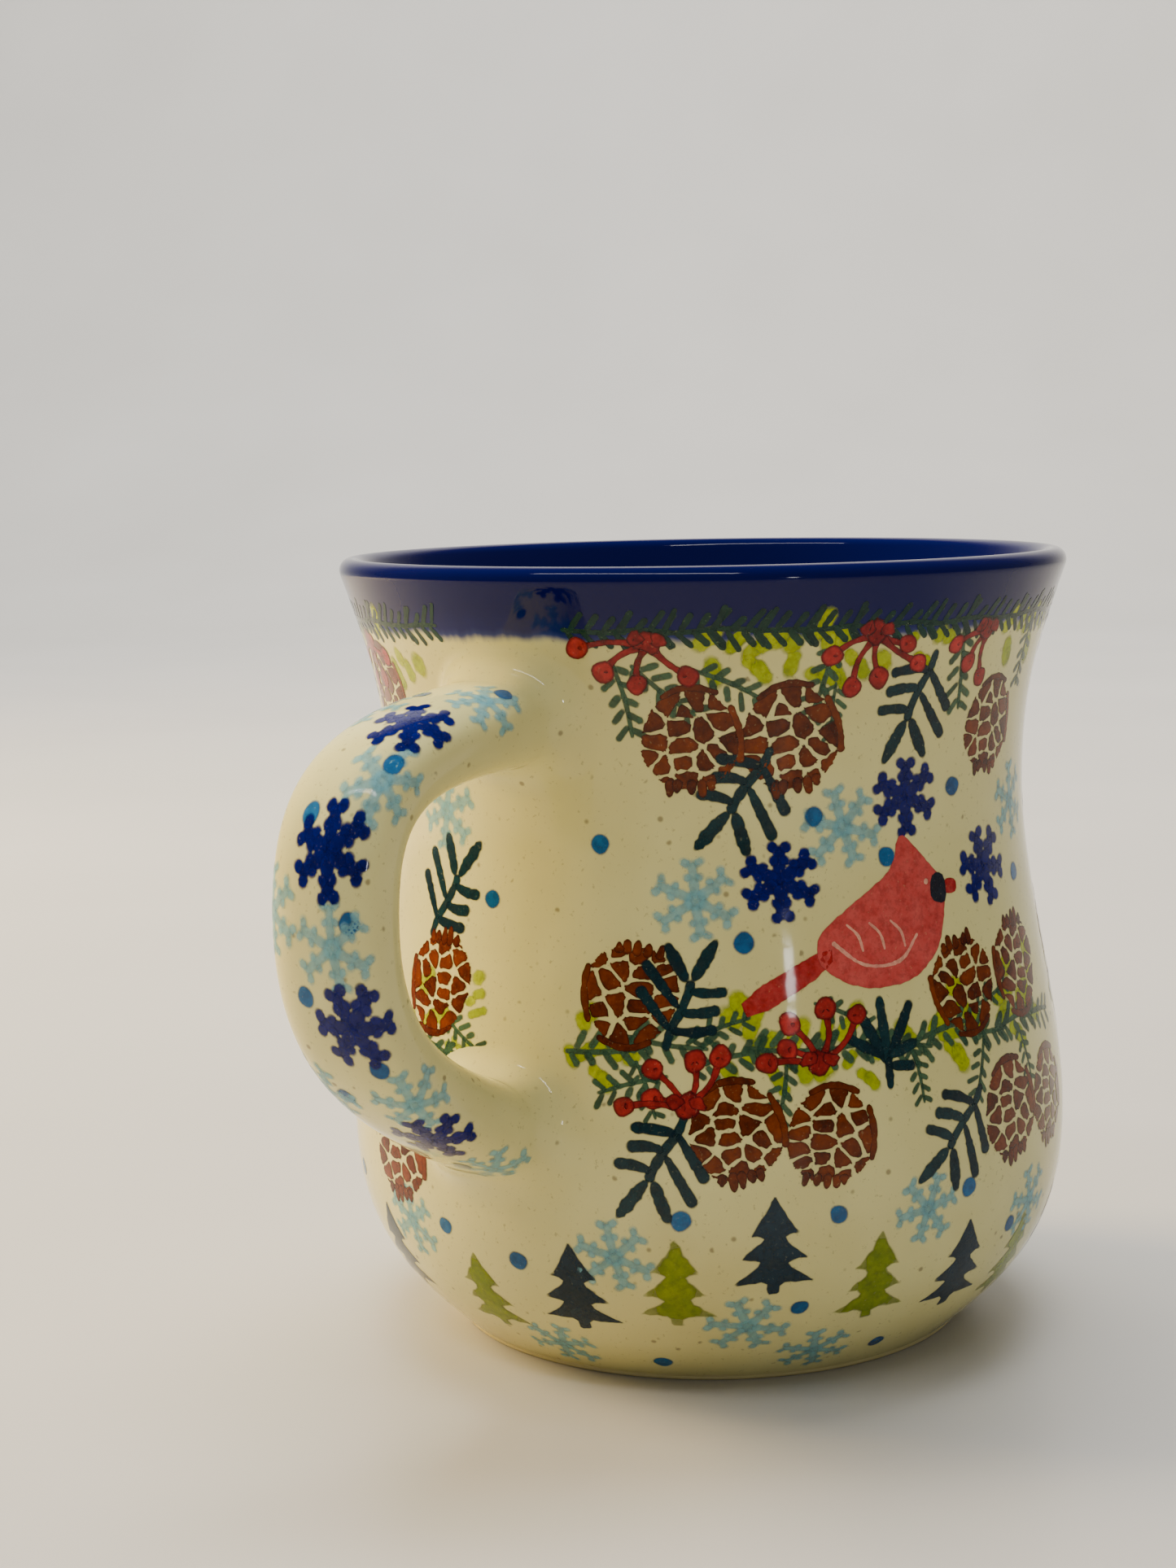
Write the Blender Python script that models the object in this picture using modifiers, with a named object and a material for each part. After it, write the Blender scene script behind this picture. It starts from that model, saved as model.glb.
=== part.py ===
"""A hand-painted stoneware mug: a turned cup, a luted strap handle and a cobalt glaze lining."""

import math

import bmesh
import bpy
from mathutils import Vector

# Driving dimensions, in metres. Heights are from the foot, radii from the cup's axis.
CUP_HEIGHT = 0.1015
RIM_RADIUS = 0.0475
WAIST_RADIUS = 0.0420
WAIST_HEIGHT = 0.0715
BELLY_RADIUS = 0.0475
BELLY_HEIGHT = 0.0280
FOOT_RADIUS = 0.0340
FOOT_RING_WIDTH = 0.0060
FOOT_RECESS = 0.0020
FOOT_CHAMFER = 0.0006

WALL = 0.0042  # clay and glaze together, at the belly
LIP_WALL = 0.0032  # clay and glaze together, at the lip
FLOOR_THICKNESS = 0.0065
FLOOR_CORNER = 0.0150

GLAZE_THICKNESS = 0.0005
GLAZE_BAND_DEPTH = 0.0095
SEAM_GAP = 0.0003

HANDLE_REACH = 0.0800  # to the strap's outer face
HANDLE_TOP_DROP = 0.0185  # from the rim down to the strap's centre line
HANDLE_MID_DROP = 0.0200  # from there down to the strap's furthest point
HANDLE_BASE_HEIGHT = 0.0335
HANDLE_BASE_RISE = math.radians(21)
STRAP_WIDTH = 0.0150
STRAP_THICKNESS = 0.0100
STRAP_SQUARENESS = 2.6  # exponent of the section's superellipse
TOP_ROOT_SWELL = 1.12
BASE_ROOT_SWELL = 1.22
ROOT_DEPTH = 0.0060  # how far the uncut strap runs on inside the cup's surface
SLIP_THICKNESS = 0.0030
SLIP_SPREAD = 1.25  # the slip's growth from the strap's end to the cup

# How far each curve runs straight before it turns, as shares of its stretch.
LIP_LEAN = 0.59
LIP_RUN = 0.31
NECK_RUN = 0.42
WAIST_RUN = 0.31
SHOULDER_RUN = 0.29
BELLY_RUN = 0.50
FOOT_SPREAD = 0.66
FOOT_RUN = 0.28
FLOOR_RUN = 0.55
HANDLE_TOP_RUN = 0.76
HANDLE_SHOULDER_RUN = 0.80
HANDLE_FALL_RUN = 0.53
HANDLE_BASE_RUN = 0.65
TOP_SWELL_SHARE = 0.25
BASE_SWELL_SHARE = 0.30

TURNED_STEPS = 60
CURVE_STEPS = 5
SECTION_STEPS = 20
STRAP_STEPS = 10
SLIP_STEPS = 6
WELD = 0.00001

# The origin is under the middle of the whole mug, so the cup's axis stands off it.
CUP_AXIS_X = (HANDLE_REACH - max(RIM_RADIUS, BELLY_RADIUS)) / 2
HANDLE_TOP_HEIGHT = CUP_HEIGHT - HANDLE_TOP_DROP
HANDLE_MID_HEIGHT = HANDLE_TOP_HEIGHT - HANDLE_MID_DROP


def clear_scene():
    for old in list(bpy.data.objects):
        bpy.data.objects.remove(old)


def make_collection(name):
    made = bpy.data.collections.new(name)
    bpy.context.scene.collection.children.link(made)
    return made


def make_material(name, colour, roughness):
    made = bpy.data.materials.new(name)
    made.use_nodes = True
    shader = made.node_tree.nodes["Principled BSDF"]
    shader.inputs["Base Color"].default_value = (*colour, 1)
    shader.inputs["Roughness"].default_value = roughness
    shader.inputs["Metallic"].default_value = 0
    return made


def make_helper(piece):
    piece.hide_render = True
    piece.display_type = "WIRE"
    return piece


def bezier(start, leave, arrive, end, steps):
    """Points of a cubic curve after its first one."""
    found = []
    for i in range(1, steps + 1):
        t = i / steps
        s = 1 - t
        weights = (s**3, 3 * s * s * t, 3 * s * t * t, t**3)
        corners = (start, leave, arrive, end)
        found.append(tuple(sum(w * p[k] for w, p in zip(weights, corners)) for k in (0, 1)))
    return found


def outer_wall():
    """The cup's outer surface as (radius, height), from just under the lip down to the foot."""
    flare = RIM_RADIUS - WAIST_RADIUS
    neck = CUP_HEIGHT - WAIST_HEIGHT
    lean = math.atan2(LIP_LEAN * flare, LIP_RUN * neck)
    lip = (RIM_RADIUS, CUP_HEIGHT - LIP_WALL / 2 * (1 + math.sin(lean)))
    waist = (WAIST_RADIUS, WAIST_HEIGHT)
    belly = (BELLY_RADIUS, BELLY_HEIGHT)
    foot = (FOOT_RADIUS, FOOT_CHAMFER)
    drop = WAIST_HEIGHT - BELLY_HEIGHT
    swell = BELLY_RADIUS - FOOT_RADIUS
    neck_curve = bezier(
        lip,
        (RIM_RADIUS - LIP_LEAN * flare, lip[1] - LIP_RUN * neck),
        (WAIST_RADIUS, WAIST_HEIGHT + NECK_RUN * neck),
        waist,
        CURVE_STEPS,
    )
    side_curve = bezier(
        waist,
        (WAIST_RADIUS, WAIST_HEIGHT - WAIST_RUN * drop),
        (BELLY_RADIUS, BELLY_HEIGHT + SHOULDER_RUN * drop),
        belly,
        CURVE_STEPS,
    )
    base_curve = bezier(
        belly,
        (BELLY_RADIUS, BELLY_HEIGHT * BELLY_RUN),
        (FOOT_RADIUS + FOOT_SPREAD * swell, FOOT_CHAMFER + FOOT_RUN * BELLY_HEIGHT),
        foot,
        CURVE_STEPS,
    )
    return [lip] + neck_curve + side_curve + base_curve


def offset_curve(points, distances):
    """A curve that runs down, moved outward along its own normals by a distance for each point."""
    moved = []
    for i, (radius, height) in enumerate(points):
        before = points[max(i - 1, 0)]
        after = points[min(i + 1, len(points) - 1)]
        run = Vector((after[0] - before[0], after[1] - before[1])).normalized()
        moved.append((radius - run.y * distances[i], height + run.x * distances[i]))
    return moved


def grown_wall(distance):
    wall = outer_wall()
    return offset_curve(wall, [distance] * len(wall))


def inner_wall(depth):
    """The hollow's surface at a depth under the glaze, from the axis up to the lip."""
    outer = outer_wall()
    span = outer[0][1] - BELLY_HEIGHT
    insets = []
    for _, height in outer:
        rise = min(max((height - BELLY_HEIGHT) / span, 0), 1)
        thick = WALL + (LIP_WALL - WALL) * rise**2
        insets.append(depth - thick)
    floor = FLOOR_THICKNESS - depth
    sides = [p for p in offset_curve(outer, insets) if p[1] > floor + FLOOR_CORNER]
    corner = sides[-1]
    flat = (corner[0] - FLOOR_CORNER, floor)
    rounding = bezier(
        corner,
        (corner[0], corner[1] - FLOOR_RUN * (corner[1] - floor)),
        (flat[0] + FLOOR_RUN * FLOOR_CORNER, floor),
        flat,
        CURVE_STEPS,
    )
    return [(0, floor)] + rounding[::-1] + sides[::-1]


def lip_round(inner, outer):
    """The half circle over the lip, from the inner wall's top to the outer wall's."""
    middle = (Vector(inner) + Vector(outer)) / 2
    half = (Vector(outer) - Vector(inner)) / 2
    crest = Vector((-half.y, half.x))
    found = []
    for i in range(1, CURVE_STEPS):
        turn = math.pi * (1 - i / CURVE_STEPS)
        found.append(tuple(middle + half * math.cos(turn) + crest * math.sin(turn)))
    return found


def turned(name, profile, material, collection):
    """A profile of (radius, height) points spun round the cup's axis."""
    mesh = bpy.data.meshes.new(name)
    points = [(radius, 0, height) for radius, height in profile]
    mesh.from_pydata(points, [(i, i + 1) for i in range(len(points) - 1)], [])
    mesh.materials.append(material)
    made = bpy.data.objects.new(name, mesh)
    collection.objects.link(made)
    spin = made.modifiers.new("spin", "SCREW")
    spin.steps = TURNED_STEPS
    spin.render_steps = TURNED_STEPS
    spin.use_merge_vertices = True
    spin.merge_threshold = WELD
    spin.use_smooth_shade = True
    return made


def make_body(material, collection):
    """The stoneware under the glaze: hollow, lip, outer wall, foot ring and its recess."""
    under = GLAZE_THICKNESS + SEAM_GAP
    band_foot = CUP_HEIGHT - GLAZE_BAND_DEPTH - SEAM_GAP
    banded = [p for p in grown_wall(-under) if p[1] > band_foot]
    bare = [p for p in outer_wall() if p[1] < band_foot]
    last = banded[-1]
    first = (bare[0][0] - under, bare[0][1])
    share = (last[1] - band_foot) / (last[1] - first[1])
    edge = last[0] + (first[0] - last[0]) * share
    step = [(edge, band_foot), (edge + under, band_foot)]
    inside = inner_wall(under)
    lip = lip_round(inside[-1], banded[0])
    ring_outside = FOOT_RADIUS - FOOT_CHAMFER
    ring_inside = ring_outside - FOOT_RING_WIDTH
    foot = [
        (ring_outside, 0),
        (ring_inside, 0),
        (ring_inside - FOOT_RECESS, FOOT_RECESS),
        (0, FOOT_RECESS),
    ]
    return turned("cup_body", inside + lip + banded + step + bare + foot, material, collection)


def make_glaze(material, collection):
    """The cobalt glaze: it lines the hollow, rolls over the lip and ends in a band outside."""
    band_foot = CUP_HEIGHT - GLAZE_BAND_DEPTH
    face_in = inner_wall(0)
    face_out = [p for p in outer_wall() if p[1] > band_foot]
    back_in = inner_wall(GLAZE_THICKNESS)
    back_out = grown_wall(-GLAZE_THICKNESS)[: len(face_out)]
    front = face_in + lip_round(face_in[-1], face_out[0]) + face_out
    back = back_in + lip_round(back_in[-1], back_out[0]) + back_out
    return turned("cobalt_glaze", front + back[::-1], material, collection)


def make_cutter(name, distance, collection):
    """The cup's outer shape grown by a distance, solid to the axis."""
    wall = grown_wall(distance)
    profile = [(0, wall[0][1])] + wall + [(0, wall[-1][1])]
    return make_helper(turned(name, profile, None, collection))


def strap_section(collection):
    """The strap's cross-section, flat-faced with rounded edges: X through it, Y across it."""
    curve = bpy.data.curves.new("strap_section", "CURVE")
    curve.dimensions = "2D"
    line = curve.splines.new("POLY")
    line.points.add(SECTION_STEPS - 1)
    line.use_cyclic_u = True
    power = 2 / STRAP_SQUARENESS
    for i, point in enumerate(line.points):
        turn = 2 * math.pi * i / SECTION_STEPS
        through = math.copysign(abs(math.cos(turn)) ** power, math.cos(turn))
        across = math.copysign(abs(math.sin(turn)) ** power, math.sin(turn))
        point.co = (through * STRAP_THICKNESS / 2, across * STRAP_WIDTH / 2, 0, 1)
    made = bpy.data.objects.new("strap_section", curve)
    collection.objects.link(made)
    return make_helper(made)


def wall_radius(height):
    """The cup's outer radius at a height."""
    wall = outer_wall()
    for above, below in zip(wall, wall[1:]):
        if above[1] >= height >= below[1]:
            share = (above[1] - height) / (above[1] - below[1])
            return above[0] + (below[0] - above[0]) * share
    return wall[0][0]


def strap_line():
    """The strap's centre line as (reach, height), from inside the top root to inside the base root."""
    reach = HANDLE_REACH - STRAP_THICKNESS / 2
    slope = Vector((math.cos(HANDLE_BASE_RISE), math.sin(HANDLE_BASE_RISE)))
    top_seat = wall_radius(HANDLE_TOP_HEIGHT)
    base_seat = Vector((wall_radius(HANDLE_BASE_HEIGHT), HANDLE_BASE_HEIGHT))
    top = (top_seat - ROOT_DEPTH, HANDLE_TOP_HEIGHT)
    middle = (reach, HANDLE_MID_HEIGHT)
    base = base_seat - slope * ROOT_DEPTH
    fall = HANDLE_MID_HEIGHT - HANDLE_BASE_HEIGHT
    upper = bezier(
        top,
        (top_seat + HANDLE_TOP_RUN * (reach - top_seat), HANDLE_TOP_HEIGHT),
        (reach, HANDLE_MID_HEIGHT + HANDLE_SHOULDER_RUN * HANDLE_MID_DROP),
        middle,
        STRAP_STEPS,
    )
    lower = bezier(
        middle,
        (reach, HANDLE_MID_HEIGHT - HANDLE_FALL_RUN * fall),
        base_seat + slope * HANDLE_BASE_RUN * (reach - base_seat.x),
        base,
        STRAP_STEPS,
    )
    return [top] + upper + lower


def root_swell(share):
    """The section's growth at a share of the way along the strap."""
    top = max(0, 1 - share / TOP_SWELL_SHARE)
    base = max(0, 1 - (1 - share) / BASE_SWELL_SHARE)
    return 1 + (TOP_ROOT_SWELL - 1) * top**2 + (BASE_ROOT_SWELL - 1) * base**2


def swept(name, line, radii, section, material, collection):
    """The strap's section run along a line in the handle's plane, as a closed mesh."""
    curve = bpy.data.curves.new(name, "CURVE")
    curve.dimensions = "3D"
    curve.twist_mode = "Z_UP"
    curve.bevel_mode = "OBJECT"
    curve.bevel_object = section
    curve.use_fill_caps = True
    path = curve.splines.new("POLY")
    path.points.add(len(line) - 1)
    for point, (reach, height), radius in zip(path.points, line, radii):
        point.co = (-reach, height, 0, 1)
        point.radius = radius
    guide = bpy.data.objects.new(name + "_guide", curve)
    guide.rotation_euler.x = math.pi / 2  # the curve is drawn flat, then stood up
    collection.objects.link(guide)
    bpy.context.view_layer.update()
    shape = guide.evaluated_get(bpy.context.evaluated_depsgraph_get())
    mesh = bpy.data.meshes.new_from_object(shape)
    welded = bmesh.new()
    welded.from_mesh(mesh)
    bmesh.ops.remove_doubles(welded, verts=welded.verts, dist=WELD)
    bmesh.ops.recalc_face_normals(welded, faces=welded.faces)
    welded.to_mesh(mesh)
    welded.free()
    mesh.materials.clear()
    mesh.materials.append(material)
    mesh.shade_smooth()
    made = bpy.data.objects.new(name, mesh)
    made.matrix_world = guide.matrix_world
    collection.objects.link(made)
    bpy.data.objects.remove(guide)
    return made


def trim(piece, operation, cutter):
    step = piece.modifiers.new(cutter.name, "BOOLEAN")
    step.operation = operation
    step.object = cutter
    step.solver = "EXACT"


def make_handle(line, section, seat, material, collection):
    radii = [root_swell(i / (len(line) - 1)) for i in range(len(line))]
    made = swept("handle", line, radii, section, material, collection)
    trim(made, "DIFFERENCE", seat)
    return made


def make_slip(name, root, ahead, swell, section, seat, face, material, collection):
    """The luting slip at one root: a pad that spreads from the strap's end onto the cup."""
    run = Vector((ahead[0] - root[0], ahead[1] - root[1])).normalized()
    length = ROOT_DEPTH + 2 * SLIP_THICKNESS
    line = []
    radii = []
    for i in range(SLIP_STEPS + 1):
        along = length * i / SLIP_STEPS
        line.append((root[0] + run.x * along, root[1] + run.y * along))
        out = min(max((along - ROOT_DEPTH) / SLIP_THICKNESS, 0), 1)
        radii.append(swell * (1 + (SLIP_SPREAD - 1) * (1 - out) ** 2))
    made = swept(name, line, radii, section, material, collection)
    trim(made, "INTERSECT", face)
    trim(made, "DIFFERENCE", seat)
    return made


def main():
    clear_scene()
    pieces = make_collection("polish_stoneware_mug")
    cutters = make_collection("cutters")
    cup = bpy.data.objects.new("cup_axis", None)
    cup.location.x = CUP_AXIS_X
    pieces.objects.link(cup)

    stoneware = make_material("stoneware", (0.76, 0.72, 0.58), 0.15)
    cobalt = make_material("cobalt_glaze", (0.006, 0.008, 0.10), 0.08)
    slip = make_material("slip", (0.72, 0.70, 0.60), 0.20)

    section = strap_section(cutters)
    slip_seat = make_cutter("slip_seat", SEAM_GAP, cutters)
    slip_face = make_cutter("slip_face", SLIP_THICKNESS - SEAM_GAP, cutters)
    handle_seat = make_cutter("handle_seat", SLIP_THICKNESS, cutters)
    line = strap_line()
    roots = (
        ("upper_slip_joint", line[0], line[1], TOP_ROOT_SWELL),
        ("lower_slip_joint", line[-1], line[-2], BASE_ROOT_SWELL),
    )

    placed = [slip_seat, slip_face, handle_seat]
    placed.append(make_body(stoneware, pieces))
    placed.append(make_glaze(cobalt, pieces))
    placed.append(make_handle(line, section, handle_seat, stoneware, pieces))
    for root in roots:
        placed.append(make_slip(*root, section, slip_seat, slip_face, slip, pieces))
    for piece in placed:
        piece.parent = cup


main()
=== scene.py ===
import math
import random

import bmesh
import bpy
import numpy as np
from mathutils import Euler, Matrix, Quaternion, Vector, geometry


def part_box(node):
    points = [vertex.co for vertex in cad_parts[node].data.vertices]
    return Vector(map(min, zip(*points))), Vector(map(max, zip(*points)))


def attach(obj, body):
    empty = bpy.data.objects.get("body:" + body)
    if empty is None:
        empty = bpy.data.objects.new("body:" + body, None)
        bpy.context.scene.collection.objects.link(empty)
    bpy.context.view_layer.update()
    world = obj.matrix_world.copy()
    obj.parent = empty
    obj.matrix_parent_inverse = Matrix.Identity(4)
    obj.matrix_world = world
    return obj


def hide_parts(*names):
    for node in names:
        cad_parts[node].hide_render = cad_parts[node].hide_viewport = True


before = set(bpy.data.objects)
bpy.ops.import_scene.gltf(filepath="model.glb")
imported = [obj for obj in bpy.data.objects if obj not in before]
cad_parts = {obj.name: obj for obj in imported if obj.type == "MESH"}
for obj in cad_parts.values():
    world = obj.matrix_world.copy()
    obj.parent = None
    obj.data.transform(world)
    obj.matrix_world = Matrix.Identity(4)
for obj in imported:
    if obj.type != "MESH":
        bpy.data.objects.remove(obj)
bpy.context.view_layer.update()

mm = 0.001

# the cup, in millimetres; turns are in degrees round it from the handle, growing to the right from outside
cup = {
    "height": 101.5, "rim": 47.5, "waist": 42.0, "waistHeight": 71.5, "belly": 47.5, "bellyHeight": 28.0,
    "foot": 34.0, "footRing": 6.0, "footRecess": 2.0, "footRound": 0.6,
    "wall": 4.2, "lipWall": 3.2, "floor": 6.5, "floorCorner": 15.0,
    "glazeSkin": 0.5, "glazeDepth": 9.5,
    "lipLean": 0.59, "lipRun": 0.31, "neckRun": 0.42, "waistRun": 0.31, "shoulderRun": 0.29,
    "bellyRun": 0.50, "footSpread": 0.66, "footRun": 0.28, "floorRun": 0.55,
    "curveSteps": 40, "lipSteps": 18, "around": 288,
}
cupLow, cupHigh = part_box("cup_body")
axisX = (cupLow[0] + cupHigh[0]) / 2


# ---- node helpers

class Wire:
    # a value on its way between nodes: sums and products of wires add their own Math nodes
    def __init__(self, board, socket):
        self.board = board
        self.socket = socket

    def math(self, operation, other=None, turned=False):
        pair = (other, self) if turned else (self, other)
        sockets = {i: value for i, value in enumerate(pair) if value is not None}
        return self.board.add("ShaderNodeMath", {"operation": operation}, sockets)

    def __add__(self, other):
        return self.math("ADD", other)

    def __radd__(self, other):
        return self.math("ADD", other, True)

    def __sub__(self, other):
        return self.math("SUBTRACT", other)

    def __rsub__(self, other):
        return self.math("SUBTRACT", other, True)

    def __mul__(self, other):
        return self.math("MULTIPLY", other)

    def __rmul__(self, other):
        return self.math("MULTIPLY", other, True)

    def __truediv__(self, other):
        return self.math("DIVIDE", other)

    def __rtruediv__(self, other):
        return self.math("DIVIDE", other, True)


class Board:
    # a node tree being wired up
    def __init__(self, tree):
        self.tree = tree

    def add(self, kind, settings=None, sockets=None, out=0):
        node = self.tree.nodes.new(kind)
        for name, value in (settings or {}).items():
            setattr(node, name, value)
        for name, value in (sockets or {}).items():
            if isinstance(value, Wire):
                self.tree.links.new(value.socket, node.inputs[name])
            else:
                node.inputs[name].default_value = value
        return Wire(self, node.outputs[out])

    def also(self, wire, out):
        # another output of the node that a wire comes from
        return Wire(self, wire.socket.node.outputs[out])

    def place(self):
        # where a point is on its own piece
        return self.add("ShaderNodeTexCoord", None, None, 3)

    def parts(self, vector):
        x = self.add("ShaderNodeSeparateXYZ", None, {0: vector})
        return x, self.also(x, 1), self.also(x, 2)

    def vector(self, x, y, z):
        return self.add("ShaderNodeCombineXYZ", None, {0: x, 1: y, 2: z})

    def step(self, value, low, high):
        # 0 under low and 1 over high, smooth in between; low may be the larger
        settings = {"interpolation_type": "SMOOTHSTEP"}
        return self.add("ShaderNodeMapRange", settings, {0: value, 1: low, 2: high})

    def noise(self, place, scale, detail=2.0, rough=0.5, stretch=(1, 1, 1)):
        where = self.add("ShaderNodeMapping", None, {"Vector": place, "Scale": stretch})
        sockets = {"Vector": where, "Scale": scale, "Detail": detail, "Roughness": rough}
        return self.add("ShaderNodeTexNoise", None, sockets)

    def mix(self, factor, first, second, blend="MIX"):
        settings = {"data_type": "RGBA", "blend_type": blend}
        first = first if isinstance(first, Wire) else (*first, 1)
        second = second if isinstance(second, Wire) else (*second, 1)
        return self.add("ShaderNodeMix", settings, {0: factor, 6: first, 7: second}, 2)


def paint(red, green, blue):
    # the linear colour of a 0 to 255 swatch
    shares = [c / 255 for c in (red, green, blue)]
    return tuple(((c + 0.055) / 1.055) ** 2.4 if c > 0.04 else c / 12.92 for c in shares)


def stain(red, green, blue):
    # the colour of glaze or ink that looks like the swatch on the cup's shaded front
    return tuple(min(0.9, 2.1 * c) for c in paint(red, green, blue))


def show(made):
    bpy.context.scene.collection.objects.link(made)


def newTree(name, inputs):
    # a Geometry Nodes tree with named inputs, its board and a wire for each input
    tree = bpy.data.node_groups.new(name, "GeometryNodeTree")
    tree.interface.new_socket("Geometry", in_out="INPUT", socket_type="NodeSocketGeometry")
    for label, kind in inputs:
        tree.interface.new_socket(label, in_out="INPUT", socket_type="NodeSocket" + kind)
    tree.interface.new_socket("Geometry", in_out="OUTPUT", socket_type="NodeSocketGeometry")
    board = Board(tree)
    source = tree.nodes.new("NodeGroupInput")
    wires = {socket.name: Wire(board, socket) for socket in source.outputs if socket.name}
    return tree, board, wires


def closeTree(board, shape):
    # every tree ends in real geometry with its material
    real = board.add("GeometryNodeRealizeInstances", None, {0: shape})
    source = next(node for node in board.tree.nodes if node.type == "GROUP_INPUT")
    finish = Wire(board, source.outputs["Material"])
    done = board.add("GeometryNodeSetMaterial", None, {"Geometry": real, "Material": finish})
    sink = board.tree.nodes.new("NodeGroupOutput")
    board.tree.links.new(done.socket, sink.inputs[0])


def grown(name, mesh, tree, values):
    # runs a tree on a mesh and returns the result as a plain object
    helper = bpy.data.objects.new(name + "Source", mesh)
    bpy.context.scene.collection.objects.link(helper)
    step = helper.modifiers.new(name, "NODES")
    step.node_group = tree
    for socket in tree.interface.items_tree:
        if socket.in_out == "INPUT" and socket.name in values:
            step[socket.identifier] = values[socket.name]
    bpy.context.view_layer.update()
    shape = helper.evaluated_get(bpy.context.evaluated_depsgraph_get())
    made = bpy.data.objects.new(name, bpy.data.meshes.new_from_object(shape))
    made.data.name = name
    bpy.data.objects.remove(helper)
    show(made)
    return made


def lineMesh(name, points, values=None):
    # a line of points, with any named values on them, for a tree to follow
    mesh = bpy.data.meshes.new(name)
    mesh.from_pydata([tuple(p) for p in points], [(i, i + 1) for i in range(len(points) - 1)], [])
    for label, numbers in (values or {}).items():
        mesh.attributes.new(label, "FLOAT", "POINT").data.foreach_set("value", numbers)
    return mesh


# ---- the cup's outline

def bezier(start, leave, arrive, end, steps):
    t = np.linspace(0, 1, steps + 1)[1:, None]
    s = 1 - t
    corners = [np.array(p, float) for p in (start, leave, arrive, end)]
    return s**3 * corners[0] + 3 * s * s * t * corners[1] + 3 * s * t * t * corners[2] + t**3 * corners[3]


def outerWall(steps):
    # radius and height from just under the lip down to the foot
    flare = cup["rim"] - cup["waist"]
    neck = cup["height"] - cup["waistHeight"]
    drop = cup["waistHeight"] - cup["bellyHeight"]
    swell = cup["belly"] - cup["foot"]
    lean = math.atan2(cup["lipLean"] * flare, cup["lipRun"] * neck)
    lip = (cup["rim"], cup["height"] - cup["lipWall"] / 2 * (1 + math.sin(lean)))
    waist = (cup["waist"], cup["waistHeight"])
    belly = (cup["belly"], cup["bellyHeight"])
    foot = (cup["foot"], cup["footRound"])
    lipEnd = (cup["rim"] - cup["lipLean"] * flare, lip[1] - cup["lipRun"] * neck)
    neckEnd = (cup["waist"], cup["waistHeight"] + cup["neckRun"] * neck)
    waistEnd = (cup["waist"], cup["waistHeight"] - cup["waistRun"] * drop)
    shoulderEnd = (cup["belly"], cup["bellyHeight"] + cup["shoulderRun"] * drop)
    bellyEnd = (cup["belly"], cup["bellyHeight"] * cup["bellyRun"])
    footRise = cup["footRound"] + cup["footRun"] * cup["bellyHeight"]
    footEnd = (cup["foot"] + cup["footSpread"] * swell, footRise)
    return np.vstack([
        [lip],
        bezier(lip, lipEnd, neckEnd, waist, steps),
        bezier(waist, waistEnd, shoulderEnd, belly, steps),
        bezier(belly, bellyEnd, footEnd, foot, steps),
    ])


def wallNormals(line):
    # the outward normals of a line that runs down the wall
    run = np.gradient(line, axis=0)
    run /= np.linalg.norm(run, axis=1)[:, None]
    return np.column_stack([-run[:, 1], run[:, 0]])


def innerWall(depth):
    # the hollow's surface at a depth under the glaze, from the axis up to the lip
    outer = outerWall(cup["curveSteps"])
    rise = np.clip((outer[:, 1] - cup["bellyHeight"]) / (outer[0, 1] - cup["bellyHeight"]), 0, 1)
    thick = cup["wall"] + (cup["lipWall"] - cup["wall"]) * rise**2
    inner = outer - wallNormals(outer) * (thick - depth)[:, None]
    floor = cup["floor"] - depth
    sides = inner[inner[:, 1] > floor + cup["floorCorner"]]
    corner = sides[-1]
    flat = (corner[0] - cup["floorCorner"], floor)
    cornerEnd = (corner[0], corner[1] - cup["floorRun"] * (corner[1] - floor))
    flatEnd = (flat[0] + cup["floorRun"] * cup["floorCorner"], floor)
    rounding = bezier(corner, cornerEnd, flatEnd, flat, cup["curveSteps"] // 2)
    middle = [(flat[0] * share, floor) for share in (0, 0.1, 0.3, 0.5, 0.75)]
    return np.vstack([middle, rounding[::-1], sides[::-1]])


def lipRound(inner, outer):
    # the half circle over the lip, from the inner wall's top to the outer wall's
    centre = (inner + outer) / 2
    half = (outer - inner) / 2
    crest = np.array([-half[1], half[0]])
    turn = math.pi * (1 - np.arange(1, cup["lipSteps"]) / cup["lipSteps"])[:, None]
    return centre + half * np.cos(turn) + crest * np.sin(turn)


wallLine = outerWall(200)
wallOut = wallNormals(wallLine)
wallReach = np.concatenate([[0], np.cumsum(np.linalg.norm(np.diff(wallLine, axis=0), axis=1))])
wallRise = wallReach[-1] - wallReach  # the way up the wall from the foot


def riseAt(height):
    # how far up the wall's surface a height is
    return float(np.interp(height, wallLine[::-1, 1], wallRise[::-1]))


def radiusAt(height):
    return float(np.interp(height, wallLine[::-1, 1], wallLine[::-1, 0]))


def wallDepth(points):
    # distance of points about the cup's axis to its outer wall, in millimetres, and the wall's normal there
    flat = np.column_stack([np.hypot(points[:, 0], points[:, 1]), points[:, 2]])
    nearest = np.argmin(((flat[:, None, :] - wallLine[None, :, :]) ** 2).sum(axis=2), axis=1)
    out = wallOut[nearest]
    depth = ((flat - wallLine[nearest]) * out).sum(axis=1)
    turn = np.arctan2(points[:, 1], points[:, 0])
    normals = np.column_stack([out[:, 0] * np.cos(turn), out[:, 0] * np.sin(turn), out[:, 1]])
    return depth, normals


# ---- finishes

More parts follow.
